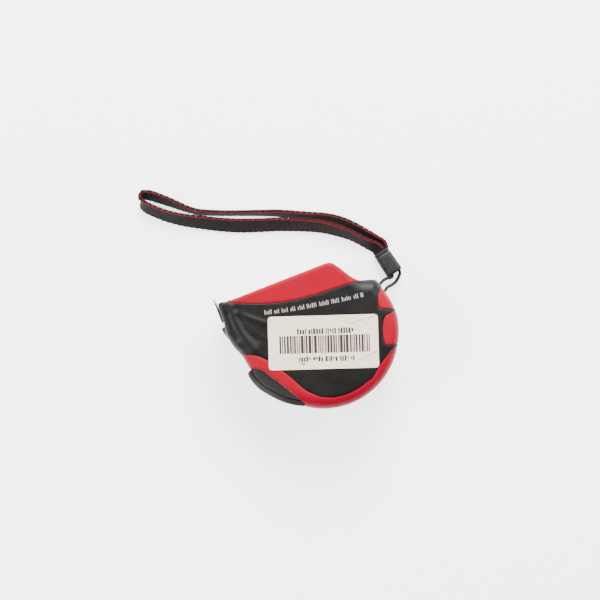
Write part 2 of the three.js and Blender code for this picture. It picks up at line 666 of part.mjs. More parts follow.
function webbing() {
  const points = WEBBING_ROUTE.map(([x, y, lean]) => new THREE.Vector3(x, y, lean));
  const route = new THREE.CatmullRomCurve3(points);
  const positions = [];
  const indices = [0, 2, 1, 0, 3, 2];
  for (let step = 0; step <= WEBBING_STEPS; step += 1) {
    positions.push(...webbingSection(route, step / WEBBING_STEPS));
  }
  for (let step = 0; step < WEBBING_STEPS; step += 1) {
    for (let k = 0; k < 4; k += 1) {
      const [a, b] = [step * 4 + k, step * 4 + ((k + 1) % 4)];
      indices.push(a, b, b + 4, a, b + 4, a + 4);
    }
  }
  const last = WEBBING_STEPS * 4;
  indices.push(last, last + 1, last + 2, last, last + 2, last + 3);
  const geometry = new THREE.BufferGeometry();
  geometry.setAttribute('position', new THREE.Float32BufferAttribute(positions, 3));
  geometry.setIndex(indices);
  return toGeometry(toSolid(geometry));
}

function joiner() {
  const { from, to, cordEnd, webbingEnd, height } = JOINER;
  const along = new THREE.Vector2(to[0] - from[0], to[1] - from[1]);
  const length = along.length();
  const profile = [
    [0.2, -cordEnd / 2 + 1], [1.2, -cordEnd / 2], [length, -webbingEnd / 2],
    [length, webbingEnd / 2], [1.2, cordEnd / 2], [0.2, cordEnd / 2 - 1],
  ];
  const placed = turned(profile, THREE.MathUtils.radToDeg(along.angle()), { x: 0, y: 0 });
  return toGeometry(prism(placed.map(([x, y]) => [x + from[0], y + from[1]]), 0, height));
}

// ---------- assembly ----------
const tapeMeasure = new THREE.Group();

function place(name, geometry, material, group = tapeMeasure) {
  const mesh = new THREE.Mesh(geometry, material);
  mesh.name = name;
  group.add(mesh);
}

function addCase(group) {
  place('label_side_shell', shell(1), MATERIAL.shell, group);
  place('clip_side_shell', shell(-1), MATERIAL.shell, group);
  place('label_side_grip', grip(1), MATERIAL.rubber, group);
  place('clip_side_grip', grip(-1), MATERIAL.rubber, group);
  place('barcode_label', label(), MATERIAL.label, group);
  SCREWS.forEach(([x, y], i) => place(`case_screw_${i + 1}`, caseScrew(x, y), MATERIAL.steel, group));
  place('arbor_post', arborPost(), MATERIAL.reel, group);
  place('mouth_guide', mouthGuide(), MATERIAL.plastic, group);
  place('mouth_bumper', mouthBumper(), MATERIAL.rubber, group);
  place('lock_detent_spring', detentSpring(), MATERIAL.steel, group);
  const pin = toGeometry(cylinder(PIN.x, PIN.y, PIN.r, PIN.low, PIN.high));
  place('strap_pin', pin, MATERIAL.steel, group);
  place('belt_clip_root', clipRoot(), MATERIAL.steel, group);
  place('belt_clip_screw', clipScrew(), MATERIAL.steel, group);
  for (const [name, low] of [['clip_side', 9.5], ['label_side', 30.9]]) {
    const washer = ring(DRUM.bore, WASHER.outer, low, low + WASHER.thickness, 24);
    place(`reel_washer_${name}`, washer, MATERIAL.steel, group);
  }
}

function addReel(group) {
  place('reel_drum', reelDrum(), MATERIAL.reel, group);
  const coverLow = DRUM.high - DRUM.web;
  place('reel_cover', ring(DRUM.bore, DRUM.inner - GAP, coverLow, DRUM.high, 44), MATERIAL.reel, group);
  place('power_spring', powerSpring(), MATERIAL.steel, group);
  place('tape_coil', ring(COIL.inner, COIL.outer, BLADE_LOW, BLADE_HIGH, 56), MATERIAL.tape, group);
}

function addBlade(group) {
  place('tape_blade', tapeBlade(), MATERIAL.tape, group);
  RIVETS.forEach(([x, z], i) => place(`hook_rivet_${i + 1}`, hookRivet(x, z), MATERIAL.steel, group));
  place('end_hook', endHook(), MATERIAL.chrome, group);
}

function addLock(group) {
  place('lock_button', lockButton(), MATERIAL.plastic, group);
  place('lock_thumb_pad', thumbPad(), MATERIAL.rubber, group);
  place('brake_shoe', brakeShoe(), MATERIAL.rubber, group);
}

function addStrap(group) {
  place('strap_cord', cord(), MATERIAL.strap, group);
  place('strap_joiner', joiner(), MATERIAL.plastic, group);
  place('strap_webbing', webbing(), MATERIAL.strap, group);
}

for (const fill of [addCase, addReel, addBlade, addLock, addStrap]) {
  const group = new THREE.Group();
  fill(group);
  tapeMeasure.add(group);
}
place('belt_clip_arm', clipArm(), MATERIAL.steel);

export default tapeMeasure;
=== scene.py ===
"""A pocket tape measure with a wrist strap, lying on its belt clip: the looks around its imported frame.

Sizes in this script are millimetres in the frame's own axes. make_piece turns them into metres.
"""

import math
import random

import bpy
import numpy as np
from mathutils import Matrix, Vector
from mathutils.geometry import delaunay_2d_cdt


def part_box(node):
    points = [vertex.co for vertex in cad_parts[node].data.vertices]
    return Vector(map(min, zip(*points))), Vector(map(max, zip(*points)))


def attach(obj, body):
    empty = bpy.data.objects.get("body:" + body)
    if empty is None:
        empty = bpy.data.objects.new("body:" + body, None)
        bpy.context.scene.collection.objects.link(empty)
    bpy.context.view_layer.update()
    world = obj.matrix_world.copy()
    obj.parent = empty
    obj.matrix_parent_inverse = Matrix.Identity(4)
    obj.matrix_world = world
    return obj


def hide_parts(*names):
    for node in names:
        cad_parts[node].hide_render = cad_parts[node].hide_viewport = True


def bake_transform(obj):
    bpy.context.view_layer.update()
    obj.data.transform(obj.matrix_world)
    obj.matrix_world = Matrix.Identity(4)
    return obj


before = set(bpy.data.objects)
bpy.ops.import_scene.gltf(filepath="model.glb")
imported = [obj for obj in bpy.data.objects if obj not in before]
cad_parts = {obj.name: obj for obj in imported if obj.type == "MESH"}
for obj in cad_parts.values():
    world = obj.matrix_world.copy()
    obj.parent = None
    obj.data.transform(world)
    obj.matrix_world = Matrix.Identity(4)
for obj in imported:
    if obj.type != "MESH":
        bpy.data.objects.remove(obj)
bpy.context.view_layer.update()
MM = 0.001


def node_box(node):
    """Lowest and highest corner of a CAD node in millimetres."""
    low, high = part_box(node)
    return np.array(low) / MM, np.array(high) / MM


# ---------- sizes ----------
CASE_LOW = node_box("clip_side_shell")[0][2]
CASE_HIGH = node_box("label_side_shell")[1][2]
CASE_MIDDLE = (CASE_LOW + CASE_HIGH) / 2
PARTING = {"gap": 0.05, "groove": 0.14, "reach": 0.4}
EDGE_RADIUS = 6
BASE_RADIUS = 1.6
BASE_FADE = (15, 27)
CUT_RADIUS = 1.1
REAR_SWELL = {"height": 0.6, "fade": (18, 30), "y": -1, "reach": 10}
DOME = {"height": 0.2, "reach": 40}
FAR = 60
SHELL_THICKNESS = 1.4
GRIP_THICKNESS = 1.2
GRIP_BED = 1.5
SEAM = {
    "gap": 0.08, "groove": 0.22, "groove_width": 0.35, "groove_fade": 0.3,
    "rise": 0.14, "lip_start": 0.05, "lip_width": 0.5,
}
BASE_Y = node_box("label_side_shell")[1][1]
CROWN = np.array([-1.4, 3.9])
CROWN_RADIUS = 34.4

TRACK = {
    "low": 11.2, "high": 29.8, "start": 184, "end": 236, "floor": 26, "end_wall": 33.8,
    "groove": 35.4, "groove_start": 172, "cheek": 1.9,
}
MOUTH = {"low": 23.9, "high": 28.6, "back": -36, "z_low": 10.6, "z_high": 30.4}
HOOK_RECESS = {"front": -38, "y_high": 33.2}
NOTCH = {"x": 25.5, "y": (9.8, 17.8), "z": (16.5, 24.5), "shy": 0.6}
WALL = {"clear": 0.2, "thickness": 0.4, "notch_clear": 0.1}
SCREWS = [(-27, 30.4), (10, 29.5), (27.2, -10.5), (-11, -25.8)]
COUNTERBORE = {"radius": 2.4, "depth": 3.3}
CLIP_WINDOW = {"half": 8.2, "y": -13.8}
BLADE = {"y": 25, "camber": 1.3, "half": 9.5}
BASE_STRIP = {"front": -40.9, "depth": 1.4, "z": 5.5, "under_face": 1.5}
LABEL = {
    "x": -3.2, "y": 0.3, "length": 50.6, "width": 24.6, "corner": 1.5, "turn": -19.8, "thickness": 0.1,
    "clear": 0.05, "spacing": 0.7, "grid": (24.8, 11.8), "rim": 0.3,
}


# ---------- lines and curves ----------
def unit(vectors):
    """A vector made 1 long, or each row of several."""
    return vectors / np.linalg.norm(vectors, axis=-1, keepdims=True)


def distance_along(line):
    """How far along a line each of its points lies."""
    return np.concatenate([[0], np.cumsum(np.linalg.norm(np.diff(line, axis=0), axis=1))])


def points_at(stops, travelled, line):
    """The points that lie at the stops, on a line whose own points lie at travelled."""
    return np.stack([np.interp(stops, travelled, column) for column in line.T], axis=1)


def turned(points, degrees):
    """Plan points turned counter-clockwise about the origin."""
    c, s = math.cos(math.radians(degrees)), math.sin(math.radians(degrees))
    return np.asarray(points) @ np.array([[c, s], [-s, c]])


def eased(line, rounds):
    """An open line, or the rows beside it, smoothed between its two ends."""
    line = line.copy()
    for _ in range(rounds):
        line[1:-1] = 0.5 * line[1:-1] + 0.25 * (line[:-2] + line[2:])
    return line


def polar(radius, degrees, centre=CROWN):
    angle = math.radians(degrees)
    return np.array([centre[0] + radius * math.cos(angle), centre[1] + radius * math.sin(angle)])


def arc(radius, start, end, steps, centre=CROWN):
    return [polar(radius, start + (end - start) * i / steps, centre) for i in range(steps + 1)]


def spline(points, steps):
    """Catmull-Rom curve through the points."""
    given = np.array(points, float)
    padded = np.vstack([given[:1], given, given[-1:]])
    curve = []
    for step in range(steps + 1):
        place = (len(given) - 1) * step / steps
        i = min(int(place), len(given) - 2)
        w = place - i
        a, b, c, d = padded[i : i + 4]
        cubic = (3 * b - a - 3 * c + d) * w**3 + (2 * a - 5 * b + 4 * c - d) * w**2
        curve.append(0.5 * (cubic + (c - a) * w + 2 * b))
    return curve


def soft_corner(before, corner, after, radius, steps=8):
    """The rounded corner between two straight runs."""
    before, corner, after = (np.array(point, float) for point in (before, corner, after))
    to_before, to_after = unit(before - corner), unit(after - corner)
    half_angle = math.acos(float(np.clip(to_before @ to_after, -1, 1))) / 2
    reach = radius / math.tan(half_angle)
    start, end = corner + to_before * reach, corner + to_after * reach
    ways = np.linspace(0, 1, steps + 1)
    return [start * (1 - s) ** 2 + corner * 2 * s * (1 - s) + end * s**2 for s in ways]


def resample(points, spacing, closed=True):
    """Points an even distance apart along a line."""
    line = np.array(points, float)
    if closed:
        line = np.vstack([line, line[:1]])
    travelled = distance_along(line)
    count = max(2, round(travelled[-1] / spacing))
    even = points_at(np.linspace(0, travelled[-1], count + 1), travelled, line)
    return even[:-1] if closed else even


def relaxed(ring, rounds):
    """A closed line with its corners softened."""
    for _ in range(rounds):
        ring = 0.5 * ring + 0.25 * (np.roll(ring, 1, axis=0) + np.roll(ring, -1, axis=0))
    return ring


def outward(ring):
    """Unit normals of a counter-clockwise ring."""
    along = unit(np.roll(ring, -1, axis=0) - np.roll(ring, 1, axis=0))
    return np.stack([along[:, 1], -along[:, 0]], axis=1)


def line_distance(points, line, closed=False):
    """Distance in plan from each point to a line of straight pieces."""
    points = np.asarray(points)[:, :2]
    line = np.asarray(line, float)[:, :2]
    if closed:
        line = np.vstack([line, line[:1]])
    nearest = np.full(len(points), 1e9)
    for start, end in zip(line[:-1], line[1:]):
        run = end - start
        size = max(float(run @ run), 1e-12)
        t = np.clip((points - start) @ run / size, 0, 1)
        gap = points - start - t[:, None] * run
        nearest = np.minimum(nearest, np.hypot(gap[:, 0], gap[:, 1]))
    return nearest


def inside_distance(points, ring):
    """Distance in plan to a closed line, positive inside it."""
    points = np.asarray(points)[:, :2]
    ring = np.asarray(ring, float)
    within = np.zeros(len(points), bool)
    x, y = points[:, 0], points[:, 1]
    for (ax, ay), (bx, by) in zip(ring, np.roll(ring, -1, axis=0)):
        if ay != by:
            crosses = (ay > y) != (by > y)
            within ^= crosses & (x < (bx - ax) * (y - ay) / (by - ay) + ax)
    distance = line_distance(points, ring, closed=True)
    return np.where(within, distance, -distance)


def in_box(points, low, high):
    """Depth inside a box, negative outside it."""
    points = np.asarray(points)
    return np.minimum(points - np.array(low), np.array(high) - points).min(axis=1)


def step_up(value, start, end):
    """0 below start, 1 above end, smooth between."""
    t = np.clip((value - start) / (end - start), 0, 1)
    return t * t * (3 - 2 * t)


# ---------- outlines ----------
FRONT = spline(
    [(-42.3, 25.5), (-43.3, 20.6), (-42.9, 16.4), (-41.9, 12.5), (-40.6, 9.6), (-39.9, 6), (-39.2, 1)], 40
)
HEEL = spline([(26.6, 19.8), (24.2, 20.5), (21.6, 22.1), (19.4, 24.6), (16.6, 29.4)], 24)
FRONT_CORNER = (-42.2, BASE_Y)
HEEL_CORNER = (13.4, BASE_Y)
REAR_CORNER = (30.4, 18.6)
CUT = spline([
    (-21.1, -22.9), (-23.5, -18.8), (-26.2, -14.3), (-29.1, -9.2), (-31.6, -5.3), (-34, -1.4), (-38.6, 1.5),
], 40)
CUT_END_ANGLE = 233.8


CORNER_RADII = {"front": 2, "rear": 2.8, "heel": 4.5}
CROWN_END_ANGLE = 374
OUTLINE_SPACING = 0.6


def case_outline(middle, crown_start):
    """The case in plan: front corner, front, crown, rear corner, heel and base."""
    crown = arc(CROWN_RADIUS, crown_start, CROWN_END_ANGLE, 110)
    ring = [
        *soft_corner(HEEL_CORNER, FRONT_CORNER, FRONT[0], CORNER_RADII["front"]),
        *middle,
        *crown,
        *soft_corner(crown[-1], REAR_CORNER, HEEL[0], CORNER_RADII["rear"]),
        *HEEL,
        *soft_corner(HEEL[-1], HEEL_CORNER, FRONT_CORNER, CORNER_RADII["heel"]),
    ]
    return relaxed(resample(ring, OUTLINE_SPACING), 2)


# The full outline runs on behind the lock. The other follows the cut that the lock's channel makes.
FULL_OUTLINE = case_outline([*FRONT, (-37.5, -5), (-33.5, -11.5)], 220)
UPPER_FRONT = [point for point in FRONT if point[1] > 2]
OUTLINE = case_outline([*UPPER_FRONT, (-39.2, 1.5), *CUT[::-1]], CUT_END_ANGLE)
CUT_LINE = [*CUT, (-44, 1.5)]
CUT_LINE.insert(0, polar(CROWN_RADIUS + 3, CUT_END_ANGLE - 1.5))

GRIP_OUTLINE = resample([
    *spline([
        (-38.6, 34.3), (-31.4, 30.7), (-20.6, 26.4), (-9.8, 23.6), (1, 22.2), (12.5, 21.5), (23.4, 21),
    ], 40),
    (27, 21.6),
    (40, 21.6),
    (40, 14),
    *spline([(31.1, 13.8), (28.8, 11.8), (27.3, 9), (26.8, 5.6), (31.1, 3.6)], 24),
    (40, 3.4),
    (40, 1.8),
    *spline([(31, 1.6), (27.4, 0.8), (25.2, -2.4), (23.4, -7.4), (23.6, -11.4), (28.7, -12.7)], 28),
    (40, -13),
    (40, -14.8),
    *spline([(28, -14.3), (25.5, -14.6), (19.3, -17.7), (11.7, -23.4)], 14),
    *arc(29.8, 291, 256, 16),
    *spline([(-13.6, -22.6), (-18.9, -17.1), (-23.2, -9), (-29.9, 1.5), (-34.6, 6), (-39.7, 8.2)], 30),
    (-50, 8.4),
    (-50, 36.3),
    (-38.6, 36.3),
], OUTLINE_SPACING)[::-1]


# ---------- meshes ----------
def triangle_normals(points, triangles):
    a, b, c = (points[triangles[:, i]] for i in range(3))
    return np.cross(b - a, c - a)


def vertex_normals(points, triangles):
    flat = triangle_normals(points, triangles)
    total = np.zeros_like(points)
    for corner in range(3):
        np.add.at(total, triangles[:, corner], flat)
    return total / np.maximum(np.linalg.norm(total, axis=1), 1e-12)[:, None]


def spaced(candidates, spacing):
    """The candidates in order, without those too near one that came before."""
    cells = {}
    kept = []
    for x, y in candidates:
        column, row = int(x // spacing), int(y // spacing)
        near = [
            other
            for i in (column - 1, column, column + 1)
            for j in (row - 1, row, row + 1)
            for other in cells.get((i, j), ())
        ]
        if all((x - ox) ** 2 + (y - oy) ** 2 >= spacing**2 for ox, oy in near):
            cells.setdefault((column, row), []).append((x, y))
            kept.append((x, y))
    return kept


def triangulate(ring, inner_points):
    """Fills a closed ring, using every inner point.

    Returns the points, the triangles and the ring's indices.
    """
    count = len(ring)
    given = [Vector(point) for point in ring] + [Vector(point) for point in inner_points]
    edges = [(i, (i + 1) % count) for i in range(count)]
    points, _, faces, origins, _, _ = delaunay_2d_cdt(given, edges, [], 1, 1e-6)
    place = {old: new for new, olds in enumerate(origins) for old in olds}
    triangles = np.array([face[:3] for face in faces])
    flat = np.array([(point[0], point[1], 0) for point in points])
    turned_over = triangle_normals(flat, triangles)[:, 2] < 0
    triangles[turned_over] = triangles[turned_over][:, ::-1]
    return flat[:, :2], triangles, [place[i] for i in range(count)]


def split(points, triangles, field, snap=0.03):
    """Cuts triangles along field = 0. Returns all the points, the triangles where the field is positive,
    and the triangles where it is negative."""
    value = np.where(np.abs(field) < snap, 0, field)
    sign = np.sign(value)[triangles]
    crossing = (sign.max(axis=1) > 0) & (sign.min(axis=1) < 0)
    positive = (sign.max(axis=1) >= 0) & (sign.min(axis=1) >= 0)
    points = [*points]
    cut_points = {}

    def cut(a, b):
        key = (min(a, b), max(a, b))
        if key not in cut_points:
            share = value[key[0]] / (value[key[0]] - value[key[1]])
            cut_points[key] = len(points)
            points.append(points[key[0]] + (points[key[1]] - points[key[0]]) * share)
        return cut_points[key]

    sides = {1: [], -1: []}
    for corners in triangles[crossing].tolist():
        for side, found in sides.items():
            loop = []
            for a, b in zip(corners, corners[1:] + corners[:1]):
                if value[a] * side >= 0:
                    loop.append(a)
                if value[a] * value[b] < 0:
                    loop.append(cut(a, b))
            found.extend([loop[0], loop[i], loop[i + 1]] for i in range(1, len(loop) - 1))
    above = np.array([*triangles[positive & ~crossing].tolist(), *sides[1]])
    below = np.array([*triangles[~positive & ~crossing].tolist(), *sides[-1]])
    return np.array(points), above.reshape(-1, 3), below.reshape(-1, 3)


def tidied(points, triangles):
    """Without the points that no triangle uses."""
    used, flat = np.unique(triangles, return_inverse=True)
    return points[used], flat.reshape(-1, 3)


def removed(points, triangles, field):
    """What is left where the field is negative."""
    points, _, left = split(points, triangles, field)
    return tidied(points, left)


def border_edges(faces):
    """Directed edges that only one face has."""
    seen = {}
    for face in faces:
        for a, b in zip(face, [*face[1:], face[0]]):
            if (b, a) in seen:
                del seen[(b, a)]
            else:
                seen[(a, b)] = True
    return list(seen)


def thickened(points, triangles, depth):
    """A closed solid from an open sheet, filled in below its outer side."""
    inner = points - vertex_normals(points, triangles) * depth
    faces = triangles.tolist()
    count = len(points)
    rim = [[b, a, a + count, b + count] for a, b in border_edges(faces)]
    back = [[c + count, b + count, a + count] for a, b, c in faces]
    return np.vstack([points, inner]), [*faces, *back, *rim]


def joined(parts):
    """Several (points, faces) as one."""
    points, faces, start = [], [], 0
    for part_points, part_faces in parts:
        points.append(np.asarray(part_points, float))
        faces.extend([[i + start for i in face] for face in part_faces])
        start += len(part_points)
    return np.vstack(points), faces


def halves(a, b, c, d):
    """The two triangles of a four-sided face."""
    return [[a, b, c], [a, c, d]]


def grid_triangles(rows, columns, flipped=False):
    """Triangles over rows of equally many points."""
    triangles = []
    for row in range(rows - 1):
        for a in range(row * columns, row * columns + columns - 1):
            b = a + columns
            triangles.extend(halves(a, b, b + 1, a + 1) if flipped else halves(a, a + 1, b + 1, b))
    return np.array(triangles)


def tube(rings):
    """A closed skin over rings of equally many points."""
    count = len(rings[0])
    faces = []
    for level in range(len(rings) - 1):
        for i in range(count):
            a, b = level * count + i, level * count + (i + 1) % count
            faces.append([a, b, b + count, a + count])
    last = (len(rings) - 1) * count
    faces.append(list(range(count - 1, -1, -1)))
    faces.append(list(range(last, last + count)))
    return np.vstack(rings), faces


BEVEL = {"limit": 35, "sharp": 50}


def make_piece(name, shape, material, body, replaced=(), sharp_degrees=40):
    points, faces = shape
    mesh = bpy.data.meshes.new(name)
    mesh.from_pydata((np.asarray(points) * MM).tolist(), [], [list(face) for face in faces])
    mesh.validate()
    mesh.shade_smooth()
    mesh.set_sharp_from_angle(angle=math.radians(sharp_degrees))
    mesh.materials.append(material)
    piece = bpy.data.objects.new(name, mesh)
    bpy.context.collection.objects.link(piece)
    if body:
        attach(piece, body)
    if replaced:
        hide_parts(*replaced)
    return piece


def bevelled(piece, width, segments=3):
    """Rounds a piece's edges for good and gives it clean shading."""
    modifier = piece.modifiers.new("edges", "BEVEL")
    modifier.width = width * MM
    modifier.segments = segments
    modifier.limit_method = "ANGLE"
    modifier.angle_limit = math.radians(BEVEL["limit"])
    modifier.harden_normals = False
    graph = bpy.context.evaluated_depsgraph_get()
    mesh = bpy.data.meshes.new_from_object(piece.evaluated_get(graph))
    piece.modifiers.clear()
    piece.data = mesh
    mesh.shade_smooth()
    mesh.set_sharp_from_angle(angle=math.radians(BEVEL["sharp"]))


def prism(outline, low, high):
    """An outline drawn up along Z. It may run either way round."""
    outline = np.array(outline, float)
    x, y = outline[:, 0], outline[:, 1]
    if np.sum(x * np.roll(y, -1) - np.roll(x, -1) * y) < 0:
        outline = outline[::-1]
    rings = [np.column_stack([outline, np.full(len(outline), z)]) for z in (low, high)]
    return tube(rings)


# ---------- materials ----------
def linear(*srgb):
    """A linear colour from 8-bit sRGB numbers."""
    shares = [value / 255 for value in srgb]
    return (*[s / 12.92 if s <= 0.04045 else ((s + 0.055) / 1.055) ** 2.4 for s in shares], 1)


class Finish:
    """A procedural material. Its patterns are set in millimetres of the piece itself."""

    def __init__(self, name, colour, roughness, **sockets):
        self.material = bpy.data.materials.new(name)
        self.material.use_nodes = True
        self.tree = self.material.node_tree
        self.shader = self.tree.nodes["Principled BSDF"]
        self.shader.inputs["Base Color"].default_value = colour
        self.shader.inputs["Roughness"].default_value = roughness
        for socket, value in sockets.items():
            self.shader.inputs[socket.replace("_", " ")].default_value = value
        self.place = self.node("ShaderNodeTexCoord").outputs["Object"]
        self.height = None

    def node(self, kind, **settings):
        node = self.tree.nodes.new(kind)
        for key, value in settings.items():
            setattr(node, key, value)
        return node

    def link(self, source, target):
        self.tree.links.new(source, target)

    def math(self, operation, first, second=None):
        node = self.node("ShaderNodeMath", operation=operation)
        for socket, value in zip(node.inputs, (first, second)):
            if value is None:
                continue
            if isinstance(value, (int, float)):
                socket.default_value = value
            else:
                self.link(value, socket)
        return node.outputs[0]

    def stretched(self, scale):
        mapping = self.node("ShaderNodeMapping")
        mapping.inputs["Scale"].default_value = scale
        self.link(self.place, mapping.inputs["Vector"])
        return mapping.outputs["Vector"]

    def noise(self, size, detail=3, stretch=None):
        """Noise whose lumps are size millimetres across."""
        node = self.node("ShaderNodeTexNoise")
        node.inputs["Scale"].default_value = 1 / (size * MM)
        node.inputs["Detail"].default_value = detail
        self.link(self.stretched(stretch) if stretch else self.place, node.inputs["Vector"])
        return node.outputs["Fac"]

    def ramp(self, source, low, high, start=0.0, end=1.0):
        node = self.node("ShaderNodeMapRange", clamp=True)
        for index, value in enumerate((low, high, start, end)):
            node.inputs[index + 1].default_value = value
        self.link(source, node.inputs[0])
        return node.outputs[0]

    def tint(self, source, colour):
        """Mixes a second colour over the base where source is 1."""
        node = self.node("ShaderNodeMix", data_type="RGBA")
        socket = self.shader.inputs["Base Color"]
        node.inputs["A"].default_value = socket.default_value
        if socket.is_linked:
            self.link(socket.links[0].from_socket, node.inputs["A"])
        node.inputs["B"].default_value = colour
        self.link(source, node.inputs["Factor"])
        self.link(node.outputs["Result"], socket)

    def patch(self, colour, amount, span, size, detail, stretch=None):
        """Mixes in a second colour, by up to amount, as a noise pattern rises through the span."""
        self.tint(self.ramp(self.noise(size, detail, stretch), *span, 0, amount), colour)

    def vary_roughness(self, source, low, high):
        self.link(self.ramp(source, 0.3, 0.7, low, high), self.shader.inputs["Roughness"])

    def bump(self, source, depth):
        """Adds relief depth millimetres deep."""
        node = self.node("ShaderNodeBump")
        node.inputs["Strength"].default_value = 1
        node.inputs["Distance"].default_value = depth * MM
        self.link(source, node.inputs["Height"])
        if self.height:
            self.link(self.height, node.inputs["Normal"])
        self.height = node.outputs["Normal"]
        self.link(self.height, self.shader.inputs["Normal"])


def red_plastic():
    finish = Finish("moulded_red_plastic", linear(152, 1, 33), 0.4, Specular_IOR_Level=0.08)
    finish.patch(linear(137, 1, 27), 0.35, (0.35, 0.75), 9, 4)
    finish.patch(linear(168, 34, 50), 0.22, (0.66, 0.8), 1.2, 6, (1, 3, 1))
    finish.vary_roughness(finish.noise(3, 5), 0.34, 0.46)
    finish.bump(finish.noise(0.25, 2), 0.006)
    return finish.material


def grip_rubber():
    finish = Finish("soft_black_rubber", linear(16, 14, 13), 0.46, Specular_IOR_Level=0.2)
    finish.patch(linear(24, 21, 20), 0.5, (0.4, 0.8), 14, 4)
    finish.patch(linear(40, 36, 35), 0.3, (0.62, 0.78), 0.9, 5)
    finish.vary_roughness(finish.noise(5, 4), 0.4, 0.54)
    finish.bump(finish.noise(0.22, 3), 0.02)
    return finish.material


def pad_rubber():
    finish = Finish("ribbed_black_rubber", linear(56, 56, 53), 0.5, Specular_IOR_Level=0.4)
    finish.patch(linear(80, 78, 74), 0.4, (0.5, 0.8), 1.5, 5)
    finish.bump(finish.noise(0.2, 3), 0.02)
    return finish.material


def dark_plastic(name, colour, roughness):
    finish = Finish(name, colour, roughness, Specular_IOR_Level=0.35)
    finish.patch(linear(56, 55, 54), 0.35, (0.45, 0.8), 4, 4)
    finish.vary_roughness(finish.noise(2, 5), roughness - 0.08, roughness + 0.08)
    finish.bump(finish.noise(0.3, 3), 0.015)
    return finish.material


def label_paper():
    finish = Finish("label_paper", linear(251, 230, 208), 0.55, Coat_Weight=0.1, Coat_Roughness=0.35)
    finish.patch(linear(240, 210, 184), 0.5, (0.42, 0.72), 11, 3)
    finish.patch(linear(214, 186, 164), 0.25, (0.5, 0.75), 0.7, 4, (1, 0.25, 1))
    finish.bump(finish.noise(0.35, 3), 0.008)
    return finish.material


def label_ink():
    finish = Finish("label_ink", linear(28, 24, 24), 0.6)
    finish.patch(linear(96, 86, 80), 0.55, (0.52, 0.72), 0.5, 4)
    return finish.material


# Painted shade: grey-brown paper, darker in patches, laid along the creases as their shadow.
def worn_paper():
    finish = Finish("worn_paper", linear(222, 196, 176), 0.6)
    finish.patch(linear(120, 104, 96), 0.9, (0.42, 0.58), 0.9, 4)
    return finish.material


def white_print():
    finish = Finish("white_print", linear(168, 164, 160), 0.5)
    finish.patch(linear(96, 92, 88), 0.5, (0.55, 0.75), 0.4, 4)
    return finish.material


def polished(name, colour, roughness):
    finish = Finish(name, colour, roughness, Metallic=1.0)
    finish.vary_roughness(finish.noise(1.5, 5), roughness, roughness + 0.12)
    finish.bump(finish.noise(0.5, 6, (1, 8, 1)), 0.004)
    return finish.material


def brushed(name, colour, roughness):
    finish = Finish(name, colour, roughness, Metallic=1.0, Anisotropic=0.4)
    strokes = finish.noise(0.6, 5, (12, 0.5, 12))
    finish.tint(finish.ramp(strokes, 0.4, 0.7, 0, 0.35), linear(120, 118, 116))
    finish.vary_roughness(strokes, roughness - 0.08, roughness + 0.12)
    finish.bump(strokes, 0.01)
    return finish.material


# The tape's marks as pitch, length and width.
TICKS = ((1, 2.2, 0.22), (5, 3.6, 0.26), (10, 5.4, 0.3))


def tape_enamel():
    """Yellow lacquer with a tick each millimetre, longer each 5 and 10, from both edges."""
    finish = Finish("printed_tape", linear(244, 204, 40), 0.35, Coat_Weight=0.4, Coat_Roughness=0.15)
    axes = finish.node("ShaderNodeSeparateXYZ")
    finish.link(finish.place, axes.inputs[0])
    along, across = axes.outputs["X"], axes.outputs["Z"]
    from_middle = finish.math("ABSOLUTE", finish.math("SUBTRACT", across, CASE_MIDDLE * MM))
    from_edge = finish.math("SUBTRACT", BLADE["half"] * MM, from_middle)
    marks = None
    for pitch, reach, width in TICKS:
        share = finish.math("FRACT", finish.math("DIVIDE", along, pitch * MM))
        line = finish.math("LESS_THAN", share, width / pitch)
        near = finish.math("LESS_THAN", from_edge, reach * MM)
        tick = finish.math("MULTIPLY", line, near)
        marks = tick if marks is None else finish.math("MAXIMUM", marks, tick)
    finish.patch(linear(226, 184, 30), 0.3, (0.45, 0.75), 6, 4)
    finish.tint(marks, linear(30, 28, 28))
    return finish.material


def woven(name, colour, light, strand):
    finish = Finish(name, colour, 0.8, Specular_IOR_Level=0.25)
    finish.patch(light, 0.6, (0.45, 0.75), strand, 4)
    finish.patch(light, 0.35, (0.6, 0.8), strand / 3, 2)
    finish.bump(finish.noise(strand / 2, 3), 0.08)
    return finish.material


RED = red_plastic()
RUBBER = grip_rubber()
PAD = pad_rubber()
BUTTON_PLASTIC = dark_plastic("button_plastic", linear(66, 71, 68), 0.4)
JOINER_PLASTIC = dark_plastic("joiner_plastic", linear(21, 21, 20), 0.5)
INNER_PLASTIC = dark_plastic("inner_plastic", linear(62, 65, 70), 0.5)
PAPER = label_paper()
INK = label_ink()
CREASE_SHADE_PAPER = worn_paper()
PRINT_PAINT = white_print()
CHROME = polished("chrome", linear(168, 168, 170), 0.2)
SCREW_STEEL = polished("screw_steel", linear(170, 170, 168), 0.25)
SPRING_STEEL = brushed("spring_steel", linear(150, 152, 156), 0.32)
CLIP_STEEL = brushed("clip_steel", linear(190, 190, 190), 0.3)
TAPE = tape_enamel()
CORD_YARN = woven("cord_yarn", linear(14, 12, 12), linear(34, 31, 30), 0.5)
WEBBING_YARN = woven("webbing_yarn", linear(10, 8, 8), linear(34, 27, 25), 0.7)
RED_YARN = woven("red_yarn", linear(96, 2, 16), linear(10, 5, 6), 1.6)


# ---------- camera ----------
CAMERA = {
    "azimuth": -21.4, "elevation": 86, "target": (-6.1, 22.3, 37), "view": 276, "focal": 100, "sensor": 36,
    "clip": (0.01, 20),
}


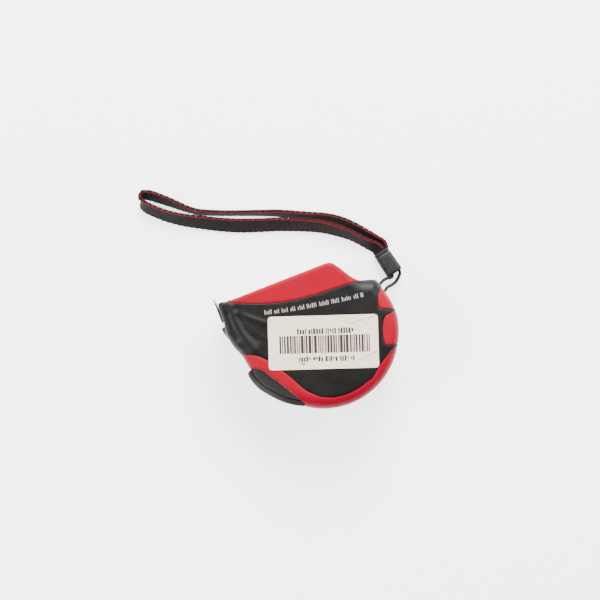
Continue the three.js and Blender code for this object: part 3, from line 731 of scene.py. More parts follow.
def add_camera():
    data = bpy.data.cameras.new("camera")
    data.lens = CAMERA["focal"]
    data.sensor_width = CAMERA["sensor"]
    data.clip_start, data.clip_end = CAMERA["clip"]
    camera = bpy.data.objects.new("camera", data)
    bpy.context.collection.objects.link(camera)
    azimuth, elevation = math.radians(CAMERA["azimuth"]), math.radians(CAMERA["elevation"])
    level = math.cos(elevation)
    back = Vector((math.sin(azimuth) * level, -math.cos(azimuth) * level, math.sin(elevation)))
    distance = CAMERA["view"] * MM * data.lens / data.sensor_width
    camera.location = Vector(CAMERA["target"]) * MM + back * distance
    camera.rotation_euler = (math.pi / 2 - elevation, 0, azimuth)
    bpy.context.scene.camera = camera


add_camera()

# ---------- wrist strap ----------
CORD = {"radius": 0.84, "strands": 3, "twist": 2.6, "depth": 0.08, "spacing": 0.3, "sides": 12}
CORD_ROUTE = [
    (40.8, 21.2, 3), (40.6, 20, 3), (40.2, 18.9, 3.2), (38.9, 18.6, 4.6), (37.2, 18.7, 7.2),
    (35.2, 18.3, 11.2), (33, 17.2, 16), (30.8, 15.9, 20.1), (28.2, 15.5, 20.6), (26.6, 14.3, 20.6),
    (26.6, 12.1, 20.6),
    (28.2, 10.9, 20.6), (30.8, 11.7, 20.2), (33.7, 13.3, 16.6), (35.2, 14.3, 11.7), (37.6, 14.9, 7.4),
    (40.2, 15.6, 4.2), (42.4, 17.1, 3), (44.1, 18.9, 3), (44.5, 20.6, 3), (44.2, 21.6, 3),
]
WEBBING = {
    "width": 8.6, "end_width": 7, "taper": 0.12, "thickness": 1.1, "across": (0.36, 0.93),
    "rib": 1.4, "rib_depth": 0.5, "scallop": 0.3, "scallop_pitch": 2.8, "ease": 120,
    "spacing": 0.275, "lift": 0.05, "follow": 0.9, "flat": 0.93, "bevel": 0.35,
}
THREAD = {"radius": 0.28, "stitch": 1.4, "sway": 0.14, "inset": 0.42, "lift": 0.05, "sides": 6}
# Centre line of the webbing as x, y and lean: 0 lies flat and 90 stands on edge.
WEBBING_ROUTE = [
    (39, 31.2, 34), (38.4, 34, 38), (36.3, 36.3, 50), (33.8, 39, 60), (29.2, 44.1, 62), (24.6, 48.2, 58),
    (18.6, 52.6, 55), (12.2, 56.1, 52), (-0.9, 61.8, 48), (-10.1, 65, 47), (-19.1, 68.3, 46),
    (-27.8, 72.3, 47), (-36.4, 76.8, 50), (-44.8, 81.6, 54), (-50.9, 86, 57), (-56, 90.8, 58),
    (-58.6, 94, 60), (-59, 97, 62), (-57, 98.8, 62), (-54.2, 97.6, 63), (-50.3, 94.4, 66),
    (-46.4, 91, 70), (-42.7, 87.5, 74), (-39, 84.2, 80), (-34.9, 81.4, 82), (-26.1, 77.4, 84),
    (-17.2, 73.9, 84), (-8.1, 70.4, 82), (0.9, 66.7, 78), (14, 60, 70), (20.6, 56.6, 66),
    (26.8, 52.2, 64), (31.6, 47.4, 62), (36.2, 41.8, 58), (39.2, 37.6, 50), (41, 34.3, 38),
    (40.2, 31.2, 34),
]
JOINER = {
    "start": (41.8, 20.8), "end": (39.4, 32.1), "cord_end": 8.4, "webbing_end": 7.8, "height": 5.6,
    "collar": 0.9, "cord_round": 1.5, "webbing_round": 0.5, "edge": 0.18, "squareness": 0.42,
    "groove": 0.25, "groove_at": 1.9, "groove_width": 0.28,
}


def route_line(route, spacing, axes=3):
    """A smooth line through the route. Its points are even as measured over the first axes."""
    given = np.array(route, float)
    padded = np.vstack([2 * given[0] - given[1], given, 2 * given[-1] - given[-2]])
    dense = []
    for i in range(len(given) - 1):
        a, b, c, d = padded[i : i + 4]
        gaps = [math.sqrt(max(np.linalg.norm(q - p), 1e-6)) for p, q in ((a, b), (b, c), (c, d))]
        start = ((b - a) / gaps[0] - (c - a) / (gaps[0] + gaps[1]) + (c - b) / gaps[1]) * gaps[1]
        end = ((c - b) / gaps[1] - (d - b) / (gaps[1] + gaps[2]) + (d - c) / gaps[2]) * gaps[1]
        for w in np.linspace(0, 1, 16, endpoint=False):
            cubic = (2 * b - 2 * c + start + end) * w**3 + (3 * c - 3 * b - 2 * start - end) * w**2
            dense.append(cubic + start * w + b)
    dense.append(given[-1])
    dense = np.array(dense)
    travelled = distance_along(dense[:, :axes])
    return points_at(np.linspace(0, travelled[-1], round(travelled[-1] / spacing) + 1), travelled, dense)


def directions(line):
    return unit(np.gradient(line, axis=0))


def sweep(line, section):
    """Carries a section along a line without twisting it. section(travelled) gives (side, up) offsets."""
    along = directions(line)
    side = np.cross(along[0], (0, 0, 1.0))
    rings = []
    for point, forward, travelled in zip(line, along, distance_along(line)):
        side = unit(side - forward * (side @ forward))
        up = np.cross(side, forward)
        rings.append(np.array([point + side * u + up * v for u, v in section(travelled)]))
    return rings


def add_cord():
    line = route_line(CORD_ROUTE, CORD["spacing"])

    def section(travelled):
        twist = 2 * math.pi * travelled / CORD["twist"]
        offsets = []
        for turn in 2 * math.pi * np.arange(CORD["sides"]) / CORD["sides"]:
            radius = CORD["radius"] - CORD["depth"] * abs(math.sin(CORD["strands"] * (turn + twist) / 2))
            offsets.append((radius * math.cos(turn), radius * math.sin(turn)))
        return offsets

    shape = tube(sweep(line, section))
    cord = make_piece("strap_cord_loop", shape, CORD_YARN, "strap", ["strap_cord"])


def webbing_widths(route):
    """The webbing's width along the route. It is narrower where it goes into the joiner."""
    share = np.linspace(0, 1, len(route))
    spread = step_up(np.minimum(share, 1 - share), 0, WEBBING["taper"])
    return WEBBING["end_width"] + (WEBBING["width"] - WEBBING["end_width"]) * spread


def webbing_frames():
    """The webbing's centre line, its width, and the directions of its width and its thickness."""
    route = route_line(WEBBING_ROUTE, WEBBING["spacing"], axes=2)
    width = webbing_widths(route)
    flat = np.column_stack([route[:, :2], np.zeros(len(route))])
    along = directions(flat)
    lean = np.radians(route[:, 2])
    across = np.array([*WEBBING["across"], 0])
    level = unit(across - WEBBING["follow"] * (along @ across)[:, None] * along)
    wide = eased(level * np.cos(lean)[:, None] + np.outer(np.sin(lean), (0, 0, 1)), WEBBING["ease"])
    wide = unit(wide - along * np.sum(wide * along, axis=1)[:, None])
    thick = unit(np.cross(along, wide))
    rise = width / 2 * np.sin(lean) + WEBBING["thickness"] / 2 * np.abs(thick[:, 2]) + WEBBING["lift"]
    return np.column_stack([route[:, :2], rise]), width, wide, thick


def add_webbing():
    centre, width, wide, thick = webbing_frames()
    depth = WEBBING["thickness"] / 2
    flat, bevel = WEBBING["flat"], WEBBING["bevel"]
    outline = [(u, 1) for u in np.linspace(-flat, flat, 9)] + [(1, bevel), (1, -bevel)]
    outline += [(u, -1) for u in np.linspace(flat, -flat, 9)] + [(-1, -bevel), (-1, bevel)]
    steps = distance_along(centre)
    rings = []
    for i, travelled in enumerate(steps):
        ring = []
        for u, v in outline:
            rib = 1 - WEBBING["rib_depth"] * (1 - abs(math.sin(math.pi * travelled / WEBBING["rib"])))
            wave = 0.5 + 0.5 * math.sin(2 * math.pi * travelled / WEBBING["scallop_pitch"] + (u > 0))
            edge = width[i] / 2 - WEBBING["scallop"] * wave
            ring.append(centre[i] + wide[i] * u * edge + thick[i] * v * depth * rib)
        rings.append(np.array(ring))
    webbing = make_piece(
        "strap_webbing_loop", tube(rings), WEBBING_YARN, "strap", ["strap_webbing"]
    )
    threads = []
    wave = THREAD["sway"] * np.sin(2 * np.pi * steps / THREAD["stitch"])
    turns = 2 * np.pi * np.arange(THREAD["sides"]) / THREAD["sides"]
    round_section = THREAD["radius"] * np.column_stack([np.cos(turns), np.sin(turns)])
    for facing in (1, -1):
        line = centre + wide * (width / 2 - THREAD["inset"] + wave)[:, None]
        line = line + thick * (facing * (depth + THREAD["lift"] + wave))[:, None]
        threads.append(tube(sweep(line[2:-2:2], lambda _: round_section)))
    thread = make_piece("strap_edge_thread", joined(threads), RED_YARN, "strap")


def add_joiner():
    start, end = np.array(JOINER["start"], float), np.array(JOINER["end"], float)
    along = unit(end - start)
    start -= along * JOINER["collar"]
    length = float(np.linalg.norm(end - start))
    side = np.array([along[1], -along[0]])
    rings = []
    for s in np.linspace(0, 1, 41):
        to_cord, to_webbing = s * length, (1 - s) * length
        ease = min(1, to_cord / JOINER["cord_round"], to_webbing / JOINER["webbing_round"])
        close = 1 - JOINER["edge"] * (1 - math.sqrt(1 - (1 - ease) ** 2))
        groove = (to_webbing - JOINER["groove_at"]) / JOINER["groove_width"]
        waist = JOINER["groove"] * math.exp(-(groove**2))
        wide = JOINER["cord_end"] + (JOINER["webbing_end"] - JOINER["cord_end"]) * s
        half_width = wide / 2 * close - waist
        half_height = JOINER["height"] / 2 * close - waist
        ring = []
        for turn in np.arange(36) * math.pi / 18:
            c, n = math.cos(turn), math.sin(turn)
            u = math.copysign(abs(c) ** JOINER["squareness"], c) * half_width
            v = math.copysign(abs(n) ** JOINER["squareness"], n) * half_height
            ring.append([*(start + along * s * length + side * u), JOINER["height"] / 2 + v])
        rings.append(np.array(ring))
    return make_piece(
        "strap_joiner_body", tube(rings), JOINER_PLASTIC, "strap", ["strap_joiner"]
    )


strap_joiner = add_joiner()
add_cord()
add_webbing()


# ---------- case ----------
def edge_radius(points):
    """The case's edges are rounder along the crown than along the base."""
    y = np.asarray(points)[:, 1]
    return EDGE_RADIUS - (EDGE_RADIUS - BASE_RADIUS) * step_up(y, *BASE_FADE)


def drop(distance, radius):
    """How far a rounded edge has fallen at a distance from it."""
    short = radius - np.clip(distance, 0, radius)
    return radius - np.sqrt(radius**2 - short**2)


def face_height(points):
    """Height of the labelled face over the plan, before the seams."""
    points = np.asarray(points)[:, :2]
    fall = drop(inside_distance(points, FULL_OUTLINE), edge_radius(points))
    fall = np.maximum(fall, drop(line_distance(points, CUT_LINE), CUT_RADIUS))
    from_centre = np.linalg.norm(points - CROWN, axis=1)
    dome = DOME["height"] * (1 - np.clip(from_centre / DOME["reach"], 0, 1) ** 2)
    return CASE_HIGH + dome - fall


# Distances of the face's mesh lines from the rubber's seam and from the cut, the rounding's lines in degrees,
# and grids as pitch, low corner and high corner.
FACE_LINES = {
    "seam": (0, 0.1, 0.28, 0.5, -0.18, -0.36), "cut": (0.08, 0.3, 0.6, CUT_RADIUS),
    "rounding": (16, 27, 38, 49, 60, 71, 81, 90), "screw": (-0.3, 0, 0.4),
    "grids": ((0.75, (-42, 7), (-22, 33)), (1.5, (-44, -32), (36, 36))), "cut_spacing": 0.7, "least_gap": 0.2,
}


def face_points():
    """Plan points of the face: rings down the rounding, lines beside every seam, and even grids."""
    normals = outward(OUTLINE)
    found = [*OUTLINE]
    for shift in FACE_LINES["seam"]:
        moved = GRIP_OUTLINE - outward(GRIP_OUTLINE) * shift
        true = np.abs(inside_distance(moved, GRIP_OUTLINE) - shift) < 0.03
        found.extend(moved[true])
    for degrees in FACE_LINES["rounding"]:
        reach = EDGE_RADIUS * (1 - math.cos(math.radians(degrees)))
        moved = OUTLINE - normals * reach
        found.extend(moved[np.abs(inside_distance(moved, FULL_OUTLINE) - reach) < 0.05])
    cut = resample(CUT, FACE_LINES["cut_spacing"], closed=False)
    along = np.gradient(cut, axis=0)
    sideways = unit(np.stack([-along[:, 1], along[:, 0]], axis=1))
    for reach in FACE_LINES["cut"]:
        found.extend(cut - sideways * reach)
    for centre in SCREWS:
        for shift in FACE_LINES["screw"]:
            found.extend(arc(COUNTERBORE["radius"] + shift, 0, 345, 23, centre))
    for pitch, low, high in FACE_LINES["grids"]:
        rows = np.arange(low[1], high[1], pitch * 0.87)
        for index, y in enumerate(rows):
            shift = pitch / 2 * (index % 2)
            found.extend(np.array([x + shift, y]) for x in np.arange(low[0], high[0], pitch))
    found = np.array(found)
    inside = inside_distance(found, OUTLINE) > 0.12
    inside[: len(OUTLINE)] = True
    return spaced([tuple(point) for point in found[inside]], FACE_LINES["least_gap"])[len(OUTLINE) :]


WALL_SHARES = (0.12, 0.25, 0.37, 0.5, 0.62, 0.74, 0.85, 0.93, 0.97, 1)


def case_skin():
    """The labelled half's whole outer skin, down to the parting line, as points and triangles."""
    plan, triangles, ring = triangulate(OUTLINE, face_points())
    points = np.column_stack([plan, face_height(plan)])
    top = points[ring]
    middle = CASE_MIDDLE + PARTING["gap"]
    count = len(ring)
    rows = [np.array(ring)]
    layers = [points]
    for k, share in enumerate(WALL_SHARES):
        layer = top.copy()
        layer[:, 2] = top[:, 2] + (middle - top[:, 2]) * share
        layers.append(layer)
        rows.append(len(points) + k * count + np.arange(count))
    wall = []
    for upper, lower in zip(rows, rows[1:]):
        after_upper, after_lower = np.roll(upper, -1), np.roll(lower, -1)
        wall.append(np.stack([upper, lower, after_lower], axis=1))
        wall.append(np.stack([upper, after_lower, after_upper], axis=1))
    return np.vstack(layers), np.vstack([triangles, *wall])


def in_track(points):
    """Depth inside the channel that the lock slides in."""
    away = points[:, :2] - CROWN
    radius = np.hypot(away[:, 0], away[:, 1])
    degrees = np.degrees(np.arctan2(away[:, 1], away[:, 0])) % 360
    from_start = np.radians(degrees - TRACK["groove_start"]) * radius
    from_end = np.radians(TRACK["end"] - degrees) * radius
    height = np.minimum(points[:, 2] - TRACK["low"], TRACK["high"] - points[:, 2])
    return np.minimum.reduce([from_start, from_end, height, radius - TRACK["floor"]])


def common_cuts(points, triangles, side):
    """Openings through shell and rubber alike."""
    mouth = ((-FAR, MOUTH["low"], MOUTH["z_low"]), (MOUTH["back"], MOUTH["high"], MOUTH["z_high"]))
    (y_low, y_high), (z_low, z_high) = NOTCH["y"], NOTCH["z"]
    notch = ((NOTCH["x"], y_low, z_low), (FAR, y_high, z_high))
    points, triangles = removed(points, triangles, in_box(points, *mouth))
    points, triangles = removed(points, triangles, in_box(points, *notch))
    points, triangles = removed(points, triangles, in_track(points))
    if side < 0:
        for x, y in SCREWS:
            field = COUNTERBORE["radius"] - np.hypot(points[:, 0] - x, points[:, 1] - y)
            field = np.minimum(field, points[:, 2] - CASE_HIGH + COUNTERBORE["depth"])
            points, triangles = removed(points, triangles, field)
    return points, triangles


def grip_depth(points, side):
    """Distance inside the rubber's area, negative on the bare shell."""
    depth = inside_distance(points, GRIP_OUTLINE)
    low = (BASE_STRIP["front"], BASE_Y - BASE_STRIP["depth"], BASE_STRIP["z"])
    base = in_box(points, low, (FAR, FAR, CASE_HIGH - BASE_STRIP["under_face"]))
    depth = np.minimum(depth, -base)
    if side < 0:
        half = CLIP_WINDOW["half"]
        window = in_box(points, (-half, -FAR, CASE_MIDDLE), (half, CLIP_WINDOW["y"], FAR))
        depth = np.minimum(depth, -window)
    return depth


# Ridges and hollows of the rubber as a line, a height and a width.
FLUTES = [
    ([(-36.5, 31.4), (-37.5, 26.6), (-37, 19.4), (-35.6, 12.8), (-33.8, 8.4)], 0.42, 1.7),
    ([(-35.2, 27.4), (-32.4, 24.6), (-28.8, 21.4), (-25.2, 18.4)], 0.38, 1.3),
    ([(-35.2, 29), (-34.4, 22.2), (-33, 16.6), (-30.6, 12)], -0.4, 1.6),
    ([(-33.4, 20.8), (-31.4, 16.6), (-28.8, 12.6)], 0.3, 1.2),
    ([(-39.6, 28), (-39.9, 22), (-39.2, 16.2)], -0.35, 1.0),
]
FLUTE_FADE = {"above_middle": (6, 12), "inside_seam": (0.2, 2)}
NOSE = {
    "low": 17.5, "full": 23, "high": 23.8, "front": -40, "sides": (8.8, 9.8), "reach": 1.6,
    "lift": 1.0, "lift_x": (37.2, 41.4), "lift_y": (29, 33.6),
}


def rubber_relief(points, depth):
    """Outward height of the rubber over the skin: its lip, the sculpted flutes and the nose."""
    relief = SEAM["rise"] * step_up(depth, SEAM["lip_start"], SEAM["lip_width"])
    relief = relief - SEAM["groove"] * (1 - step_up(depth, 0, SEAM["groove_fade"]))
    fade = step_up(points[:, 2] - CASE_MIDDLE, *FLUTE_FADE["above_middle"])
    fade = fade * step_up(depth, *FLUTE_FADE["inside_seam"])
    for line, height, width in FLUTES:
        away = line_distance(points, spline(line, 16))
        relief += height * np.exp(-((away / width) ** 2)) * fade
    nose = step_up(points[:, 1], NOSE["low"], NOSE["full"])
    nose = nose * (points[:, 1] < NOSE["high"]) * (points[:, 0] < NOSE["front"])
    nose = nose * (1 - step_up(np.abs(points[:, 2] - CASE_MIDDLE), *NOSE["sides"]))
    return relief + NOSE["reach"] * nose


def parting_groove(points):
    """How far the skin is let in beside the line where the halves meet, as a negative height."""
    away = np.abs(points[:, 2] - CASE_MIDDLE)
    return -PARTING["groove"] * (1 - step_up(away, 0, PARTING["reach"]))


def shell_sheet(points, triangles, side):
    """The shell with its bed for the rubber let in."""
    depth = grip_depth(points, side)
    points, under, bare = split(points, triangles, depth)
    depth = grip_depth(points, side)
    normals = vertex_normals(points, np.vstack([under, bare]))
    count = len(points)
    lip = -SEAM["groove"] * (1 - step_up(-depth, 0, SEAM["groove_width"])) + parting_groove(points)
    top = points + normals * lip[:, None]
    bed = points - normals * GRIP_BED
    bare_edges = set(border_edges(bare.tolist()))
    under_edges = {(b, a) for a, b in border_edges(under.tolist())}
    wall = []
    for a, b in sorted(bare_edges & under_edges):
        wall.extend(halves(b, a, a + count, b + count))
    return tidied(np.vstack([top, bed]), np.vstack([bare, under + count, np.array(wall)]))


def grip_sheet(points, triangles, side):
    """The rubber, with room left for the hook."""
    points, triangles = removed(points, triangles, SEAM["gap"] - grip_depth(points, side))
    low = (-FAR, MOUTH["low"], MOUTH["z_low"])
    high = (HOOK_RECESS["front"], HOOK_RECESS["y_high"], MOUTH["z_high"])
    points, triangles = removed(points, triangles, in_box(points, low, high))
    relief = rubber_relief(points, grip_depth(points, side)) + parting_groove(points)
    corner = step_up(-points[:, 0], *NOSE["lift_x"]) * step_up(points[:, 1], *NOSE["lift_y"])
    points = points + vertex_normals(points, triangles) * relief[:, None]
    points[:, 1] += NOSE["lift"] * corner
    return points, triangles


def turned_over(points, faces):
    """The same shape mirrored to the clip side."""
    mirrored = points.copy()
    mirrored[:, 2] = 2 * CASE_MIDDLE - points[:, 2]
    return mirrored, [face[::-1] for face in faces]


def swollen(points):
    """The rear of the crown stands out a little past its arc."""
    points = points.copy()
    share = (points[:, 1] - REAR_SWELL["y"]) / REAR_SWELL["reach"]
    points[:, 0] += REAR_SWELL["height"] * step_up(points[:, 0], *REAR_SWELL["fade"]) * np.exp(-(share**2))
    return points


def add_case_halves():
    points, triangles = case_skin()
    skin = swollen(points), triangles
    for side, half in ((1, "label_side"), (-1, "clip_side")):
        points, triangles = common_cuts(*skin, side)
        shell = thickened(*shell_sheet(points, triangles, side), SHELL_THICKNESS)
        grip = thickened(*grip_sheet(points, triangles, side), GRIP_THICKNESS)
        if side < 0:
            shell, grip = turned_over(*shell), turned_over(*grip)
        make_piece(f"{half}_red_shell", shell, RED, "case", [f"{half}_shell"])
        make_piece(f"{half}_rubber", grip, RUBBER, "case", [f"{half}_grip"])


def channel_strip(degrees, profile):
    """A ribbon round the crown. profile gives (radius, height) pairs, where None is the case's surface."""
    points = []
    radii = np.linspace(25, 45, 161)
    for angle in degrees:
        direction = polar(1, angle) - CROWN
        inside = inside_distance(CROWN + np.outer(radii, direction), OUTLINE) > 0
        surface = radii[0] + (radii[1] - radii[0]) * float(inside.sum()) - 0.5
        for radius, height in profile:
            points.append([*(CROWN + direction * (radius or surface)), TRACK["low"] + height])
    triangles = grid_triangles(len(degrees), len(profile))
    return thickened(np.array(points), triangles, -WALL["thickness"])


def add_pockets():
    """Walls of the lock's channel and of the strap's notch, which show through the gaps."""
    near, far = WALL["clear"], TRACK["high"] - TRACK["low"] - WALL["clear"]
    floor, groove, cheek = TRACK["floor"], TRACK["groove"] + WALL["clear"], TRACK["cheek"]
    main = np.linspace(TRACK["start"] + 0.2, TRACK["end"] - 0.4, 32)
    front = np.linspace(TRACK["groove_start"] + 0.4, TRACK["start"], 10)
    end = [[*polar(r, main[-1]), TRACK["low"] + z] for r in (floor, TRACK["end_wall"]) for z in (near, far)]
    strips = [
        channel_strip(main, [(None, near), (floor, near), (floor, far), (None, far)]),
        channel_strip(front, [(None, near), (groove, near)]),
        channel_strip(front, [(groove, cheek), (groove, far - cheek)]),
        channel_strip(front, [(groove, far), (None, far)]),
        thickened(np.array(end), np.array([[0, 1, 2], [1, 3, 2]]), -WALL["thickness"]),
    ]
    make_piece("lock_channel_wall", joined(strips), RED, "case")
    corners = []
    clear = WALL["notch_clear"]
    for z in (NOTCH["z"][0] - clear, NOTCH["z"][1] + clear):
        for y in (NOTCH["y"][0] - clear, NOTCH["y"][1] + clear):
            surface = CROWN[0] + math.sqrt(CROWN_RADIUS**2 - (y - CROWN[1]) ** 2)
            corners.extend([(NOTCH["x"], y, z), (surface - NOTCH["shy"], y, z)])
    quads = [(0, 2, 6, 4), (0, 1, 3, 2), (4, 6, 7, 5), (0, 4, 5, 1), (2, 3, 7, 6)]
    sides = np.array([triangle for quad in quads for triangle in halves(*quad)])
    pocket = thickened(np.array(corners), sides, -WALL["thickness"])
    make_piece("strap_notch_wall", pocket, INNER_PLASTIC, "case")


# ---------- label and print ----------
def label_place(local):
    """Plan points from the label's own length and width."""
    return turned(local, LABEL["turn"]) + (LABEL["x"], LABEL["y"])


# The label's creases as two ends and a height. The first two also get a grey line of painted shade along
# their folds.
CREASES = [((11.5, 8.2), (25.1, 11.8), 0.3), ((17.5, -8), (25.1, -4.4), 0.3), ((-24.5, 5), (-12, 12), 0.1)]
CREASE = {"shaded": 2, "shade_width": 0.34, "ridge": 0.45, "dip": 1.4, "dip_share": 0.4, "ripple": 0.03}


def label_surface(local):
    """Points on the label's creased and slightly rippled paper."""
    local = np.asarray(local, float)
    plan = label_place(local)
    height = face_height(plan) + SEAM["rise"] + LABEL["thickness"] + LABEL["clear"]
    for start, end, rise in CREASES:
        away = line_distance(local, [start, end])
        dip = CREASE["dip_share"] * np.exp(-((away / CREASE["dip"]) ** 2))
        height += rise * (np.exp(-((away / CREASE["ridge"]) ** 2)) - dip)
    along, across = local.T
    ripple = CREASE["ripple"] * np.sin(along * 0.9 + 0.4 * across) * np.sin(across * 0.7)
    return np.column_stack([plan, height + ripple])


def add_label():
    half_length, half_width, corner = LABEL["length"] / 2, LABEL["width"] / 2, LABEL["corner"]
    ring = []
    for sx, sy, start in ((1, 1, 0), (-1, 1, 90), (-1, -1, 180), (1, -1, 270)):
        centre = (sx * (half_length - corner), sy * (half_width - corner))
        ring.extend(arc(corner, start, start + 90, 6, centre))
    ring = resample(ring, LABEL["spacing"])
    columns, rows = (np.arange(-reach, reach + 0.1, LABEL["spacing"]) for reach in LABEL["grid"])
    grid = [(x, y) for x in columns for y in rows]
    inside = inside_distance(grid, ring) > LABEL["rim"]
    local, triangles, _ = triangulate(ring, [point for point, kept in zip(grid, inside) if kept])
    sheet = thickened(label_surface(local), triangles, LABEL["thickness"])
    make_piece("price_label", sheet, PAPER, "case", ["barcode_label"], 60)


DECAL = {"lift": 0.03, "shade_lift": 0.02, "thickness": 0.02, "spacing": 0.8}


def decals(rectangles, place, lift=DECAL["lift"]):
    """Thin printed marks that follow the surface they lie on."""
    parts = []
    for u_low, u_high, v_low, v_high in rectangles:
        rows = max(1, round((v_high - v_low) / DECAL["spacing"])) + 1
        columns = max(1, round((u_high - u_low) / DECAL["spacing"])) + 1
        us, vs = np.linspace(u_low, u_high, columns), np.linspace(v_low, v_high, rows)
        points = place(np.array([(u, v) for v in vs for u in us]))
        points[:, 2] += lift
        parts.append(thickened(points, grid_triangles(rows, columns), DECAL["thickness"]))
    return joined(parts)


def block_row(draw, start, end, low, high, word, gap):
    """Blocks of uneven width, grouped like printed figures but spelling nothing."""
    blocks = []
    at = start
    while at < end:
        for _ in range(draw.randint(*word)):
            width = draw.uniform(*FIGURES["widths"])
            cut = draw.choice((0, 0, 0.25, 0.4)) * (high - low)
            if at + width < end:
                blocks.append((at, at + width, low + (cut if draw.random() < 0.5 else 0), high - cut * 0.5))
            at += width + FIGURES["gap"]
        at += gap
    return blocks


BARS = {
    "from": -20.2, "last": 21.2, "to": 21.7, "low": -4.9, "high": 3.2,
    "widths": (0.4, 0.5, 0.6, 0.8, 1.0, 1.3), "gaps": (0.3, 0.38, 0.45, 0.6),
}
# Rows of figures: from, to, low, high, how many to a word, and the gap between words.
FIGURES = {
    "widths": (0.5, 1.0), "gap": 0.38,
    "rows": (
        (-12, 14.4, 3.8, 6.5, (4, 7), 0.6),
        (-11.4, 14.8, -8.8, -6.4, (3, 6), 0.8),
        (-11, -7.4, -10.2, -9.2, (3, 3), 0.6),
    ),
}


def add_label_print():
    draw = random.Random(41)
    marks = []
    at = BARS["from"]
    while at < BARS["last"]:
        width = draw.choice(BARS["widths"])
        marks.append((at, min(at + width, BARS["to"]), BARS["low"], BARS["high"]))
        at += width + draw.choice(BARS["gaps"])
    for row in FIGURES["rows"]:
        marks += block_row(draw, *row)
    make_piece("label_print", decals(marks, label_surface), INK, "case")


# Strips of painted shade along the first creases, standing for the shadow in their folds.
def add_label_crease_shade():
    shade_stripes = []
    half = CREASE["shade_width"] / 2
    for start, end, _ in CREASES[: CREASE["shaded"]]:
        run = np.array(end) - start
        length = float(np.linalg.norm(run))
        axes = np.array([run, (-run[1], run[0])]) / length

        def place(local, start=start, axes=axes):
            return label_surface(local @ axes + start)

        shade_stripes.append(decals([(0, length, -half, half)], place, DECAL["shade_lift"]))
    make_piece("label_creases", joined(shade_stripes), CREASE_SHADE_PAPER, "case")


PRINT_LINE = [(-24, 23), (-12.4, 20.1), (-1, 17.8), (10.4, 15.8), (22, 14)]
PRINT = {
    "height": 2.1, "short": 0.72, "start": 0.6, "spare": 1, "strokes": (0.26, 0.42), "gaps": (0.38, 0.58),
    "word": (3, 6), "word_gap": 0.9, "spacing": 0.25,
}


def add_grip_print():
    draw = random.Random(7)
    line = resample(spline(PRINT_LINE, 60), PRINT["spacing"], closed=False)
    travelled = np.arange(len(line)) * np.linalg.norm(line[1] - line[0])
    marks = []
    at = PRINT["start"]
    while at < travelled[-1] - PRINT["spare"]:
        for _ in range(draw.randint(*PRINT["word"])):
            width = draw.uniform(*PRINT["strokes"])
            top = PRINT["height"] * draw.choice((1, 1, PRINT["short"]))
            marks.append((at, at + width, 0, top))
            at += width + draw.uniform(*PRINT["gaps"])
        at += PRINT["word_gap"]

    def place(local):
        behind, middle, ahead = (points_at(local[:, 0] + shift, travelled, line) for shift in (-0.5, 0, 0.5))
        along = unit(ahead - behind)
        up = np.stack([-along[:, 1], along[:, 0]], axis=1)
        plan = middle + up * (local[:, 1] - PRINT["height"] / 2)[:, None]
        return np.column_stack([plan, face_height(plan) + SEAM["rise"]])

    make_piece("grip_print", decals(marks, place), PRINT_PAINT, "case")


# ---------- lock ----------
# The thumb strip's outer line as radius and degrees round the crown.
BUTTON_CURVE = [
    (37.3, 184.2), (39.4, 185.4), (40, 188), (39.7, 194), (38.8, 201.6),
    (36.9, 215), (35.5, 226), (34.2, 235.3),
]
BUTTON = {
    "low": 11.5, "high": 29.5, "gap": 0.3, "bevel": 0.45,
    "step": 194.5, "front": 184.5, "end": 234, "bed": 29.5,
    "cheek": 1.3, "cheek_inside": 0.05, "cheek_radii": (30.8, 37),
    "arm": (28.8, 30.2, 184, 243), "front_arm": (28.8, 31.2, 158, 194.5), "foot_turn": 9,
}
FOOT = [(-35.2, 21.9), (-27.5, 21.9), (-25.6, 18.4), (-26.4, 16.8), (-30.6, 18.6), (-35.2, 19.6)]
PAD_STRIP = {
    "thickness": 2.3, "spacing": 0.22, "rib": 0.26, "rib_pitch": 1.15, "sunk": 0.16,
    "end_round": 0.9, "end_drop": 0.7, "under": 1.6, "groove_clear": 0.5, "groove_share": 0.25,
}
# The strip's rounded edge as shares of its thickness and distances from its side.
PAD_EDGE = ((0, 0), (0.55, 0), (0.82, 0.1), (0.95, 0.3), (1, 0.7))


def button_curve(depth, steps):
    return spline([polar(radius - depth, degrees) for radius, degrees in BUTTON_CURVE], steps)


def sector(inner, outer, start, end, steps=12):
    return [*arc(outer, start, end, steps), *arc(inner, end, start, steps)]


def add_lock_body():
    """A crescent under the strip, two cheeks in front of it, and the arm and foot inside the case."""
    low, high, step = BUTTON["low"], BUTTON["high"], BUTTON["step"]
    under_pad = button_curve(PAD_STRIP["thickness"] + BUTTON["gap"], 48)
    crescent = [*under_pad[21:], polar(BUTTON["bed"], BUTTON["end"]), *arc(BUTTON["bed"], 230, step, 12)]
    inner, outer = BUTTON["cheek_radii"]
    cheek = [*under_pad[10:23], *arc(inner, step + 0.9, BUTTON["front"], 8), polar(outer, BUTTON["front"])]
    foot = turned(np.array(FOOT) - CROWN, BUTTON["foot_turn"]) + CROWN
    body = joined([
        prism(crescent, low, high),
        prism(sector(*BUTTON["arm"]), low, high),
        prism(sector(*BUTTON["front_arm"]), low, high),
        prism(foot, low, high),
        prism(cheek, low + BUTTON["cheek_inside"], low + BUTTON["cheek"]),
        prism(cheek, high - BUTTON["cheek"], high - BUTTON["cheek_inside"]),
    ])
    button = make_piece("lock_button_body", body, BUTTON_PLASTIC, "lock", ["lock_button"])
    bevelled(button, BUTTON["bevel"])


